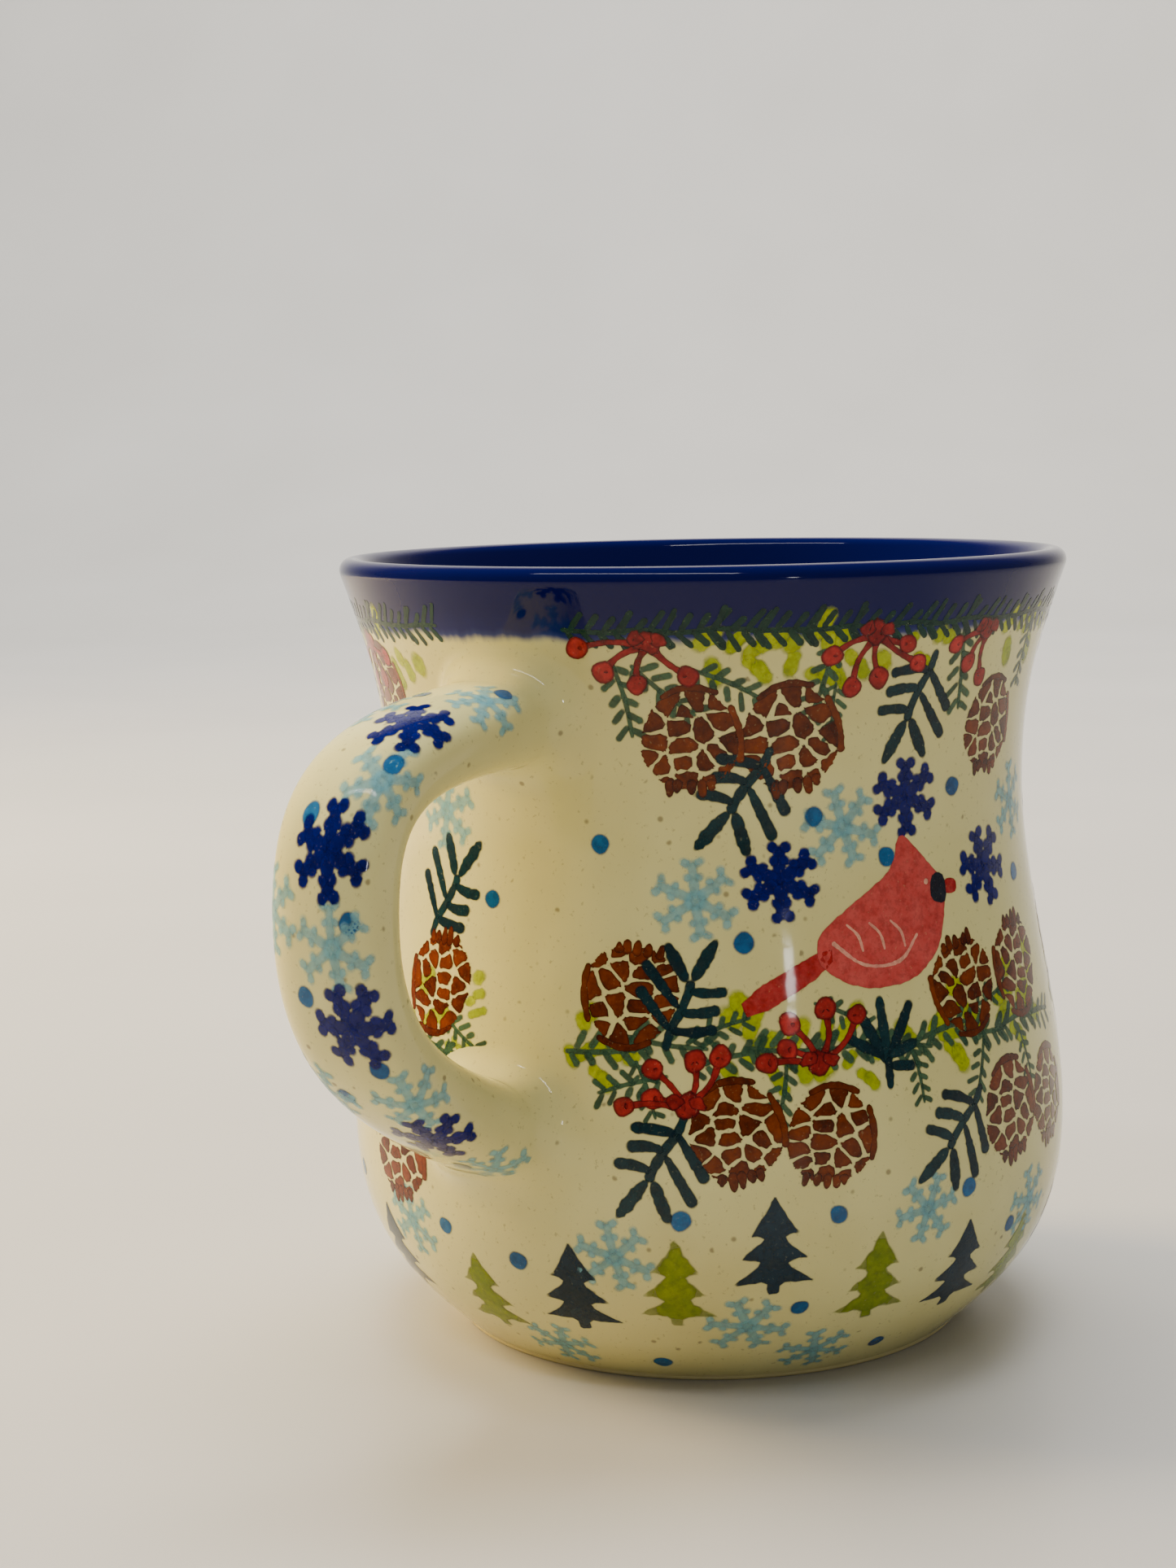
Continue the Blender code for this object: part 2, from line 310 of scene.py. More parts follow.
glaze = {
    "cream": stain(162, 156, 106), "shade": stain(155, 148, 97), "fleck": stain(96, 86, 60),
    "cobalt": stain(1, 2, 50), "wash": stain(6, 10, 62), "thin": stain(44, 54, 96),
    "clay": stain(156, 144, 108),
    "roughness": 0.06, "specular": 0.24,
    # heights where the band begins, where its wash thickens and where it is full
    "bandFoot": 92.6, "washLow": 92.2, "washHigh": 94.0, "bandFull": 96.5,
    # how uneven the glass is: the slow waves, the fine peel, their strength and depth in metres
    "waveScale": 55, "peelScale": 900, "peelShare": 0.045, "bump": 0.22, "bumpDepth": 0.0004,
    # the lining shows inside this radius above this height
    "liningRadius": 42.6, "liningHeight": 91.4, "liningFade": 0.5,
}


def shaderBoard(name):
    made = bpy.data.materials.new(name)
    made.use_nodes = True
    made.node_tree.nodes.clear()
    return made, Board(made.node_tree)


def finishShader(board, colour, roughness, bump=None, alpha=None):
    sockets = {"Base Color": colour, "Roughness": roughness, "IOR": 1.5}
    sockets["Specular IOR Level"] = glaze["specular"]
    if bump is not None:
        sockets["Normal"] = bump
    if alpha is not None:
        sockets["Alpha"] = alpha
    shader = board.add("ShaderNodeBsdfPrincipled", None, sockets)
    sink = board.tree.nodes.new("ShaderNodeOutputMaterial")
    board.tree.links.new(shader.socket, sink.inputs[0])


def glazeBump(board, place):
    # the glass is not quite flat: slow waves from the wheel and a faint orange peel
    wave = board.noise(place, glaze["waveScale"], 2, 0.5, (1, 1, 2.2))
    peel = board.noise(place, glaze["peelScale"], 1)
    sockets = {"Strength": glaze["bump"], "Distance": glaze["bumpDepth"]}
    sockets["Height"] = wave + peel * glaze["peelShare"]
    return board.add("ShaderNodeBump", None, sockets)


def creamColour(board, place):
    # cream glaze over speckled clay
    cloud = board.noise(place, 38, 3, 0.6)
    base = board.mix(board.step(cloud, 0.35, 0.7), glaze["cream"], glaze["shade"])
    fine = board.noise(place, 1500, 2, 0.7)
    fleck = board.step(fine, 0.62, 0.74) * 0.42
    cells = board.add("ShaderNodeTexVoronoi", None, {"Vector": place, "Scale": 330.0, "Randomness": 1.0})
    spot = board.step(cells, 0.16, 0.06) * board.step(board.noise(place, 420, 0), 0.52, 0.60) * 0.8
    return board.mix(fleck.math("MAXIMUM", spot), base, glaze["fleck"])


def buildGlaze(name, bare):
    # the outer look from foot to lip, the same on the cup and on the cobalt lining, so that no seam shows
    made, board = shaderBoard(name)
    place = board.place()
    x, y, z = board.parts(place)
    x = (x - axisX) * 1000
    y = y * 1000
    z = z * 1000
    radius = (x * x + y * y).math("SQRT")
    cream = creamColour(board, place)
    ragged = board.noise(place, 120, 3, 0.6, (1, 1, 0.35))
    streak = board.noise(place, 420, 2, 0.6, (1, 1, 0.12))
    edge = z + (ragged - 0.5) * 2.6 + (streak - 0.5) * 1.0
    band = board.step(edge, glaze["bandFoot"] - 0.5, glaze["bandFoot"] + 0.7)
    depth = board.step(edge, glaze["bandFoot"], glaze["bandFull"])
    inside = 0
    if not bare:
        inner, low, fade = glaze["liningRadius"], glaze["liningHeight"], glaze["liningFade"]
        inside = board.step(radius, inner + 1, inner).math("MAXIMUM", board.step(z, low + fade, low))
    washed = board.mix(board.step(edge, glaze["washLow"], glaze["washHigh"]), glaze["thin"], glaze["wash"])
    blue = board.mix(depth, washed, glaze["cobalt"])
    blue = board.mix(inside, blue, glaze["cobalt"])
    colour = board.mix(band.math("MAXIMUM", inside), cream, blue)
    roughness = glaze["roughness"]
    if bare:
        # the foot's ring is wiped clean of glaze
        foot = board.step(z + (ragged - 0.5) * 0.8, 1.1, 0.5)
        clay = board.mix(board.noise(place, 700, 3), glaze["clay"], glaze["shade"])
        colour = board.mix(foot, colour, clay)
        roughness = foot * 0.6 + glaze["roughness"]
    finishShader(board, colour, roughness, glazeBump(board, place))
    return made


def buildHandleGlaze():
    made, board = shaderBoard("creamGlaze")
    place = board.place()
    finishShader(board, creamColour(board, place), glaze["roughness"], glazeBump(board, place))
    return made


# ---- turned shapes

def turnTree():
    # spins the outline it is given, points of radius and height in metres, round the cup's axis
    inputs = [("Around", "Int"), ("Axis", "Float"), ("Material", "Material")]
    tree, board, wires = newTree("turnedOnWheel", inputs)
    outline = wires["Geometry"]
    count = board.add("GeometryNodeAttributeDomainSize", {"component": "MESH"}, {0: outline})
    grid = board.add("GeometryNodeMeshGrid", None, {2: wires["Around"] + 1, 3: count})
    index = board.add("GeometryNodeInputIndex")
    row = index.math("MODULO", count)
    column = (index / count).math("FLOOR")
    sockets = {"Geometry": outline, "Value": board.add("GeometryNodeInputPosition"), "Index": row}
    point = board.add("GeometryNodeSampleIndex", {"data_type": "FLOAT_VECTOR"}, sockets)
    radius, _, height = board.parts(point)
    turn = column / wires["Around"] * (2 * math.pi)
    where = board.vector(wires["Axis"] + radius * turn.math("COSINE"), radius * turn.math("SINE"), height)
    sockets = {"Geometry": grid, "Name": "OFBake", "Value": board.also(grid, 1)}
    settings = {"data_type": "FLOAT2", "domain": "CORNER"}
    mapped = board.add("GeometryNodeStoreNamedAttribute", settings, sockets)
    shaped = board.add("GeometryNodeSetPosition", None, {"Geometry": mapped, "Position": where})
    welded = board.add("GeometryNodeMergeByDistance", None, {"Geometry": shaped, "Distance": 1e-6})
    closeTree(board, board.add("GeometryNodeSetShadeSmooth", None, {"Geometry": welded}))
    return tree


def faceOut(mesh, sharp):
    # one closed surface with its faces outwards
    work = bmesh.new()
    work.from_mesh(mesh)
    bmesh.ops.dissolve_degenerate(work, dist=1e-7, edges=work.edges)
    bmesh.ops.recalc_face_normals(work, faces=work.faces)
    work.to_mesh(mesh)
    work.free()
    mesh.shade_smooth()
    mesh.set_sharp_from_angle(angle=math.radians(sharp))


def trueNormals(mesh):
    # the outer wall's own normals where a face lies on it, so that pieces that meet there shine as one
    points = np.empty(len(mesh.vertices) * 3)
    mesh.vertices.foreach_get("co", points)
    points = points.reshape(-1, 3) / mm - (axisX / mm, 0, 0)
    depth, normals = wallDepth(points)
    corners = np.empty(len(mesh.loops), int)
    mesh.loops.foreach_get("vertex_index", corners)
    now = np.array([c.vector for c in mesh.corner_normals])
    low, high = wallLine[-1, 1] + 0.3, wallLine[0, 1] - 0.3
    onWall = (abs(depth) < 0.05) & (points[:, 2] > low) & (points[:, 2] < high)
    good = onWall[corners] & ((now * normals[corners]).sum(axis=1) > 0.7)
    now[good] = normals[corners][good]
    mesh.normals_split_custom_set(now.tolist())


def turned(name, tree, outline, finish):
    points = [(radius * mm, 0, height * mm) for radius, height in outline]
    values = {"Around": cup["around"], "Axis": axisX, "Material": finish}
    made = grown(name, lineMesh(name, points), tree, values)
    reach = np.concatenate([[0], np.cumsum(np.linalg.norm(np.diff(outline, axis=0), axis=1))])
    share = np.linspace(0, 1, len(outline))
    layer = made.data.uv_layers["OFBake"]
    spots = np.empty(len(layer.uv) * 2, np.float32)
    layer.uv.foreach_get("vector", spots)
    spots[1::2] = np.interp(spots[1::2], share, reach / reach[-1])
    layer.uv.foreach_set("vector", spots)
    faceOut(made.data, 35)
    trueNormals(made.data)
    return made


def buildCup(tree, finish):
    # the stoneware: under the lining inside, flush with it outside
    under = cup["glazeSkin"]
    outer = outerWall(cup["curveSteps"])
    bandFoot = cup["height"] - cup["glazeDepth"]
    inside = innerWall(under)
    covered = outer - wallNormals(outer) * under
    banded = covered[covered[:, 1] > bandFoot]
    edge = radiusAt(bandFoot)
    step = [(edge - under, bandFoot), (edge, bandFoot)]
    bare = outer[outer[:, 1] < bandFoot - 0.2]
    lip = lipRound(inside[-1], banded[0])
    turn = np.linspace(0, math.pi / 2, 6)[1:, None]
    ringOutside = cup["foot"] - cup["footRound"]
    roundTo = np.array([ringOutside, cup["footRound"]])
    footEdge = roundTo + cup["footRound"] * np.hstack([np.cos(turn), -np.sin(turn)])
    ringInside = ringOutside - cup["footRing"]
    recess = cup["footRecess"]
    foot = [
        (ringOutside - 2, 0), (ringInside + 1, 0), (ringInside, 0.15), (ringInside - recess, recess),
        (ringInside - recess - 3, recess), (12, recess), (5, recess), (0, recess),
    ]
    outline = np.vstack([inside, lip, banded, step, bare, footEdge, foot])
    return turned("stonewareCup", tree, outline, finish)


def buildLining(tree, finish):
    # the cobalt glaze: it lines the hollow, rolls over the lip and ends in a band outside
    skin = cup["glazeSkin"]
    outer = outerWall(cup["curveSteps"])
    bandFoot = cup["height"] - cup["glazeDepth"]
    faceIn = innerWall(0)
    backIn = innerWall(skin - 0.02)
    covered = outer - wallNormals(outer) * (skin - 0.02)
    faceOutside = outer[outer[:, 1] > bandFoot + 0.2]
    backOutside = covered[covered[:, 1] > bandFoot + 0.2]
    edge = radiusAt(bandFoot)
    front = np.vstack([faceIn, lipRound(faceIn[-1], faceOutside[0]), faceOutside, [(edge, bandFoot)]])
    back = np.vstack([backIn, lipRound(backIn[-1], backOutside[0]), backOutside, [(edge - skin, bandFoot)]])
    return turned("cobaltLining", tree, np.vstack([front, back[::-1]]), finish)


# ---- the handle

strap = {
    "reach": 80.0, "topDrop": 18.5, "midDrop": 20.0, "baseHeight": 33.5, "baseRise": 21.0,
    "width": 15.0, "thickness": 10.0, "squareness": 2.6, "topSwell": 0.12, "baseSwell": 0.22,
    "rootDepth": 6.0, "topRun": 0.76, "shoulderRun": 0.80, "fallRun": 0.53, "baseRun": 0.65,
    "topShare": 0.25, "baseShare": 0.30, "steps": 90, "around": 72,
    "filletTop": 4.2, "filletBase": 4.6, "sink": 1.2, "rows": 150,
}
slip = {
    # how far the slip reaches under the wall and into the strap, and past its own rounding
    "wallSink": 0.8, "strapSink": 0.4, "past": 0.5, "edgeSink": 0.35, "steps": 14,
}


def strapLine():
    # the strap's centre line as distance from the cup's axis and height, with its swell and its outward side
    reach = strap["reach"] - strap["thickness"] / 2
    topHeight = cup["height"] - strap["topDrop"]
    midHeight = topHeight - strap["midDrop"]
    baseHeight = strap["baseHeight"]
    rise = math.radians(strap["baseRise"])
    slope = np.array([math.cos(rise), math.sin(rise)])
    topSeat = radiusAt(topHeight)
    baseSeat = np.array([radiusAt(baseHeight), baseHeight])
    top = (topSeat - strap["rootDepth"], topHeight)
    middle = (reach, midHeight)
    base = baseSeat - slope * strap["rootDepth"]
    topEnd = (topSeat + strap["topRun"] * (reach - topSeat), topHeight)
    shoulderEnd = (reach, midHeight + strap["shoulderRun"] * strap["midDrop"])
    fallEnd = (reach, midHeight - strap["fallRun"] * (midHeight - baseHeight))
    baseEnd = baseSeat + slope * strap["baseRun"] * (reach - baseSeat[0])
    line = np.vstack([
        [top],
        bezier(top, topEnd, shoulderEnd, middle, strap["steps"]),
        bezier(middle, fallEnd, baseEnd, base, strap["steps"]),
    ])
    share = np.linspace(0, 1, len(line))
    swell = 1 + strap["topSwell"] * np.clip(1 - share / strap["topShare"], 0, 1) ** 2
    swell += strap["baseSwell"] * np.clip(1 - (1 - share) / strap["baseShare"], 0, 1) ** 2
    run = np.gradient(line, axis=0)
    run /= np.linalg.norm(run, axis=1)[:, None]
    # out from the finger gap: up at the top root, away from the cup at the middle
    side = np.column_stack([-run[:, 1], run[:, 0]])
    return line, swell, side


def sectionAt(turn):
    # the strap's section as shares of its thickness and width
    power = 2 / strap["squareness"]
    through = np.sign(np.cos(turn)) * abs(np.cos(turn)) ** power * strap["thickness"] / 2
    across = np.sign(np.sin(turn)) * abs(np.sin(turn)) ** power * strap["width"] / 2
    return through, across


def strapGenerators():
    # every lengthwise line of the strap's surface about the cup's axis, with its outward normals and depths
    line, swell, side = strapLine()
    turns = 2 * math.pi * np.arange(strap["around"]) / strap["around"]
    through, across = sectionAt(turns)
    reach = line[:, None, 0] + side[:, None, 0] * through * swell[:, None]
    height = line[:, None, 1] + side[:, None, 1] * through * swell[:, None]
    aside = -across * swell[:, None]
    points = np.stack([-reach, aside, height], axis=2)
    power = strap["squareness"] - 1
    leanOut = np.sign(through) * abs(through / (strap["thickness"] / 2)) ** power / strap["thickness"]
    leanAside = np.sign(across) * abs(across / (strap["width"] / 2)) ** power / strap["width"]
    normals = np.stack([-side[:, None, 0] * leanOut, np.ones_like(swell)[:, None] * -leanAside,
                        side[:, None, 1] * leanOut], axis=2)
    normals /= np.linalg.norm(normals, axis=2)[:, :, None]
    depths = np.array([wallDepth(row)[0] for row in points])
    return points, normals, depths


def crossing(depths, level, root):
    # where each generator is at a distance from the wall, counted in rows, near one root
    half = len(depths) // 2
    found = []
    for column in depths.T:
        near = column[:half] if root == "top" else column[half:][::-1]
        last = np.argmax(near > level + 1.5) + 1
        row = np.interp(level, near[:last], np.arange(last))
        found.append(row if root == "top" else len(depths) - 1 - row)
    return np.array(found)


def along(values, rows):
    # each generator's value at its own row, which may fall between two
    base = np.clip(np.floor(rows).astype(int), 0, len(values) - 2)
    share = (rows - base)[:, None]
    columns = np.arange(values.shape[1])
    return values[base, columns] * (1 - share) + values[base + 1, columns] * share


def ringMesh(name, rows, closed, finish, normals=None):
    # rows of points round a section, joined to each other, about the cup's axis
    count = len(rows[0])
    points = np.vstack(rows) * mm + (axisX, 0, 0)
    faces = []
    spans = len(rows) if closed else len(rows) - 1
    for i in range(spans):
        a, b = i * count, (i + 1) % len(rows) * count
        for j in range(count):
            k = (j + 1) % count
            faces.append((a + j, a + k, b + k, b + j))
    mesh = bpy.data.meshes.new(name)
    if not closed:
        faces.append(tuple(range(count)))
        faces.append(tuple(range(len(points) - count, len(points))))
    mesh.from_pydata(points.tolist(), [], faces)
    work = bmesh.new()
    work.from_mesh(mesh)
    bmesh.ops.recalc_face_normals(work, faces=work.faces)
    work.to_mesh(mesh)
    work.free()
    mesh.shade_smooth()
    if normals is not None:
        given = np.vstack(normals)
        kept = np.array([v.normal for v in mesh.vertices])
        blank = np.linalg.norm(given, axis=1) < 0.5
        given[blank] = kept[blank]
        mesh.normals_split_custom_set_from_vertices(given.tolist())
    mesh.materials.append(finish)
    made = bpy.data.objects.new(name, mesh)
    show(made)
    return made


def buildStrap(points, normals, depths, finish):
    # the pulled strap, from just inside the wall at the top to just inside it at the base
    first = crossing(depths, -strap["sink"], "top")
    last = crossing(depths, -strap["sink"], "base")
    steps = strap["rows"]
    rows = []
    outs = []
    for i in range(steps + 1):
        at = first + (last - first) * i / steps
        rows.append(along(points, at))
        outs.append(along(normals, at))
    return ringMesh("handleStrap", rows, False, finish, outs)


def buildSlip(name, points, normals, depths, root, size, finish):
    # the slip that lutes a root on, wiped to a hollow round from the strap onto the wall
    seat = along(points, crossing(depths, 0, root))
    onStrap = along(normals, crossing(depths, 0, root))
    _, onWall = wallDepth(seat)
    away = onStrap - onWall * (onStrap * onWall).sum(axis=1)[:, None]
    away /= np.linalg.norm(away, axis=1)[:, None]

    def placed(depth, out):
        spot = along(points, crossing(depths, depth, root)) + away * out
        for _ in range(3):
            now, wall = wallDepth(spot)
            spot = spot + wall * (depth - now)[:, None]
        return spot

    blank = np.zeros_like(seat)
    past, edge, steps = slip["past"], slip["edgeSink"], slip["steps"]
    rows = [placed(-slip["wallSink"], -slip["strapSink"]), placed(size + past, -edge)]
    outs = [blank, blank]
    for i in range(steps + 1):
        turn = math.pi / 2 * i / steps
        spot = placed(size * (1 - math.sin(turn)), size * (1 - math.cos(turn)))
        _, wall = wallDepth(spot)
        strapOut = along(normals, crossing(depths, size * (1 - math.sin(turn)), root))
        out = strapOut * math.cos(turn) + wall * math.sin(turn)
        rows.append(spot)
        outs.append(out / np.linalg.norm(out, axis=1)[:, None])
    rows.append(placed(-edge, size + past))
    outs.append(blank)
    return ringMesh(name, rows, True, finish, outs)


# ---- painting: flat shapes in millimetres, x to the right and y up, later laid on the cup and the handle

class Sketch:
    touchLift = 0.0004  # millimetres between one touch and the next, so that no two lie in one plane

    # touches of one ink, each a little above the one before; pool runs from 0 at a touch's edge to 1 inside
    def __init__(self, seed):
        self.points = []
        self.faces = []
        self.pool = []
        self.tone = []
        self.chance = random.Random(seed)
        self.lift = 0.0

    def put(self, points, faces, pool, tone=None):
        base = len(self.points)
        self.lift += self.touchLift
        self.points += [(x, y, self.lift) for x, y in points]
        self.faces += [tuple(base + i for i in face) for face in faces]
        self.pool += pool
        self.tone += [self.chance.random() if tone is None else tone] * len(points)

    def rings(self, loop, centre, tone=None, shares=((1, 0), (0.8, 0.45), (0.5, 1))):
        # a rounded touch: its outline drawn in towards its middle
        points = []
        pool = []
        for share, depth in shares:
            points += [tuple(c + (p - c) * share for p, c in zip(spot, centre)) for spot in loop]
            pool += [depth] * len(loop)
        count = len(loop)
        faces = []
        for ring in range(len(shares) - 1):
            for i in range(count):
                j = (i + 1) % count
                a, b = ring * count, (ring + 1) * count
                faces.append((a + i, a + j, b + j, b + i))
        last = (len(shares) - 1) * count
        points.append(centre)
        pool.append(1)
        faces += [(last + i, last + (i + 1) % count, len(points) - 1) for i in range(count)]
        self.put(points, faces, pool, tone)

    def blob(self, x, y, wide, tall, spin=0, wobble=0.1, sides=14, tone=None):
        phases = [self.chance.uniform(0, 2 * math.pi) for _ in range(3)]
        spin = math.radians(spin)
        loop = []
        for i in range(sides):
            a = 2 * math.pi * i / sides
            waves = sum(math.sin((k + 2) * a + phase) for k, phase in enumerate(phases))
            r = 0.5 * (1 + wobble * waves / 2)
            u, v = r * wide * math.cos(a), r * tall * math.sin(a)
            east, north = math.cos(spin), math.sin(spin)
            loop.append((x + u * east - v * north, y + u * north + v * east))
        self.rings(loop, (x, y), tone)

    def stroke(self, line, width, taper=(0.8, 1.0, 0.8), tone=None, wobble=0.12, gap=0.45):
        # one pull of a loaded brush, with round ends
        line = np.array(line, float)
        if len(line) > 2:
            line = smoothLine(line)
        run = np.concatenate([[0], np.cumsum(np.linalg.norm(np.diff(line, axis=0), axis=1))])
        length = run[-1]
        half = width / 2
        ends = [0, 0.12 * half, 0.5 * half, half]
        inner = np.linspace(half, length - half, max(2, int((length - width) / gap) + 1))[1:-1]
        marks = np.array(ends + list(inner) + [length - d for d in reversed(ends)])
        marks = np.clip(marks, 0, length)
        middle = np.column_stack([np.interp(marks, run, line[:, k]) for k in (0, 1)])
        ahead = np.column_stack([np.interp(marks + 0.1, run, line[:, k]) for k in (0, 1)])
        behind = np.column_stack([np.interp(marks - 0.1, run, line[:, k]) for k in (0, 1)])
        way = ahead - behind
        way /= np.linalg.norm(way, axis=1)[:, None] + 1e-9
        points = []
        pool = []
        for mark, spot, along in zip(marks, middle, way):
            share = mark / length
            near = min(mark, length - mark)
            ending = math.sqrt(max(0.03, 1 - (1 - min(near / half, 1)) ** 2))
            body = np.interp(share, np.linspace(0, 1, len(taper)), taper)
            reach = half * body * ending * (1 + self.chance.uniform(-wobble, wobble))
            depth = min(near / half, 1)
            for side, full in ((1, 0), (0.6, 0.7), (0, 1), (-0.6, 0.7), (-1, 0)):
                points.append((spot[0] - along[1] * reach * side, spot[1] + along[0] * reach * side))
                pool.append(full * depth)
        faces = []
        for i in range(len(marks) - 1):
            for j in range(4):
                a = i * 5 + j
                faces.append((a, a + 1, a + 6, a + 5))
        self.put(points, faces, pool, tone)

    def shape(self, outline, tone=None, ragged=0.05, spacing=1.1, rounds=1):
        # a filled outline of any shape, with points inside it so that it can bend
        loop = np.array(outline, float)
        for _ in range(rounds):
            loop = cutCorners(loop)
        loop = thickened(loop, 0.5)
        loop = loop + [[self.chance.uniform(-ragged, ragged) for _ in range(2)] for _ in loop]
        low, high = loop.min(axis=0), loop.max(axis=0)
        count = len(loop)
        inside = []
        for row, y in enumerate(np.arange(low[1], high[1], spacing * 0.87)):
            for x in np.arange(low[0] + row % 2 * spacing / 2, high[0], spacing):
                if insideLoop((x, y), loop) and edgeDistance((x, y), loop) > 0.45:
                    inside.append((x, y))
        edge = [(i, (i + 1) % count) for i in range(count)]
        rim = []
        for i in range(count):
            before, after = loop[i - 1], loop[(i + 1) % count]
            way = (after - before) / (np.linalg.norm(after - before) + 1e-9)
            spot = loop[i] + np.array([-way[1], way[0]]) * 0.22 * turnOf(loop)
            if insideLoop(spot, loop) and edgeDistance(spot, loop) > 0.15:
                rim.append(tuple(spot))
        spots = [Vector(p) for p in loop] + [Vector(p) for p in rim + inside]
        found = geometry.delaunay_2d_cdt(spots, edge, [list(range(count))], 1, 1e-5)
        points = [tuple(p) for p in found[0]]
        pool = [min(1, edgeDistance(p, loop) / 0.6) for p in points]
        faces = [tuple(face) for face in found[2]]
        self.put(points, faces, pool, tone)

    def mesh(self, name):
        mesh = bpy.data.meshes.new(name)
        spots = [point[:2] for point in self.points]
        faces = [face if faceTurn([spots[i] for i in face]) > 0 else face[::-1] for face in self.faces]
        mesh.from_pydata(self.points, [], faces)
        for label, numbers in (("pool", self.pool), ("tone", self.tone)):
            mesh.attributes.new(label, "FLOAT", "POINT").data.foreach_set("value", numbers)
        return mesh


def smoothLine(line, parts=4):
    # a line through its points without corners
    padded = np.vstack([2 * line[0] - line[1], line, 2 * line[-1] - line[-2]])
    found = [line[0]]
    for i in range(1, len(padded) - 2):
        a, b, c, d = padded[i - 1:i + 3]
        for k in range(1, parts + 1):
            t = k / parts
            found.append(0.5 * (2 * b + (c - a) * t + (2 * a - 5 * b + 4 * c - d) * t**2
                                + (3 * b - a - 3 * c + d) * t**3))
    return np.array(found)


def cutCorners(loop):
    after = np.roll(loop, -1, axis=0)
    return np.stack([loop * 0.78 + after * 0.22, loop * 0.22 + after * 0.78], axis=1).reshape(-1, 2)


def thickened(loop, gap):
    # the same outline with points no further apart than the gap
    found = []
    for a, b in zip(loop, np.roll(loop, -1, axis=0)):
        count = max(1, int(np.linalg.norm(b - a) / gap))
        found += [a + (b - a) * i / count for i in range(count)]
    return np.array(found)


def faceTurn(loop):
    return sum(a[0] * b[1] - b[0] * a[1] for a, b in zip(loop, loop[1:] + loop[:1]))


def turnOf(loop):
    return 1 if faceTurn([tuple(p) for p in loop]) > 0 else -1


def insideLoop(spot, loop):
    x, y = spot
    ends = np.roll(loop, -1, axis=0)
    crosses = (loop[:, 1] > y) != (ends[:, 1] > y)
    slope = (ends[:, 0] - loop[:, 0]) * (y - loop[:, 1]) / (ends[:, 1] - loop[:, 1] + 1e-12) + loop[:, 0]
    return bool((crosses & (x < slope)).sum() % 2)


def edgeDistance(spot, loop):
    ends = np.roll(loop, -1, axis=0)
    run = ends - loop
    spot = np.array(spot)
    share = np.clip(((spot - loop) * run).sum(axis=1) / ((run * run).sum(axis=1) + 1e-12), 0, 1)
    return float(np.linalg.norm(loop + run * share[:, None] - spot, axis=1).min())


def clipped(loop, point, out):
    # the part of a convex outline on the near side of a line through the point
    found = []
    for a, b in zip(loop, loop[1:] + loop[:1]):
        far = (a[0] - point[0]) * out[0] + (a[1] - point[1]) * out[1]
        farNext = (b[0] - point[0]) * out[0] + (b[1] - point[1]) * out[1]
        if far <= 0:
            found.append(a)
        if far * farNext < 0:
            share = far / (far - farNext)
            found.append((a[0] + (b[0] - a[0]) * share, a[1] + (b[1] - a[1]) * share))
    return found


cone = {
    # each row of scales: height, how many, half the row's width and a shift to the side
    "rows": ((5, 3, 2.8, 0.4), (3.2, 3, 3.6, -0.7), (1.4, 4, 4.3, 0.3),
             (-0.6, 3, 3.8, -0.8), (-2.5, 4, 3.9, 0.4), (-4.4, 3, 2.8, -0.3)),
    "wide": 5.7, "top": 6.3, "low": -5.8, "gap": 0.13, "jitter": 0.4, "bow": 0.08,
}


def drawCone(seed):
    # a hanging pine cone: scales parted by bare gaps, a fringe at the tip and one long scale at the side
    sketch = Sketch(seed)
    chance = sketch.chance
    egg = []
    for i in range(40):
        a = 2 * math.pi * i / 40
        tall = cone["top"] if math.sin(a) > 0 else -cone["low"]
        egg.append((cone["wide"] * math.cos(a) * (1 - 0.10 * math.sin(a)), tall * math.sin(a)))
    sites = []
    for height, count, half, shift in cone["rows"]:
        for i in range(count):
            x = shift + half * (2 * i / (count - 1) - 1)
            bow = cone["bow"] * x * x
            jitter = cone["jitter"]
            x += chance.uniform(-jitter, jitter)
            sites.append((x, height - bow + chance.uniform(-jitter, jitter)))
    for i, site in enumerate(sites):
        cell = list(egg)
        for j, other in enumerate(sites):
            away = (other[0] - site[0], other[1] - site[1])
            far = math.hypot(*away)
            if i != j and far < 8:
                out = (away[0] / far, away[1] / far)
                edge = far / 2 - cone["gap"] * chance.uniform(0.75, 1.35)
                cell = clipped(cell, (site[0] + out[0] * edge, site[1] + out[1] * edge), out)
        loop = cutCorners(np.array(cell))
        loop = thickened(cutCorners(loop), 0.6)
        centre = tuple(loop.mean(axis=0))
        push = chance.uniform(0.92, 1.05)
        loop = [(centre[0] + (x - centre[0]) * push + chance.uniform(-0.14, 0.14),
                 centre[1] + (y - centre[1]) * push + chance.uniform(-0.14, 0.14)) for x, y in loop]
        sketch.rings(loop, centre, None, ((1, 0), (0.86, 0.4), (0.55, 1)))
    for i in range(5):
        x = -2.6 + i * 1.25 + chance.uniform(-0.25, 0.25)
        low = -5.6 - 1.2 * math.cos(x / 2.6) + chance.uniform(-0.5, 0.4)
        sketch.stroke([(x * 0.95, -4.5), (x * 1.05, low)], 1.35, (1.0, 0.9, 0.6), None, 0.2)
    sketch.stroke([(4.6, 4.2), (5.5, 1.8), (5.9, -0.4), (5.7, -2.8)], 0.9, (0.9, 1.1, 0.9, 1.1), None, 0.18)
    sketch.stroke([(-3.4, 5.0), (-1.4, 6.1), (0.8, 6.3), (3.4, 5.6)], 0.9, (0.8, 1.0, 1.1, 0.8), 0.1, 0.2)
    return sketch


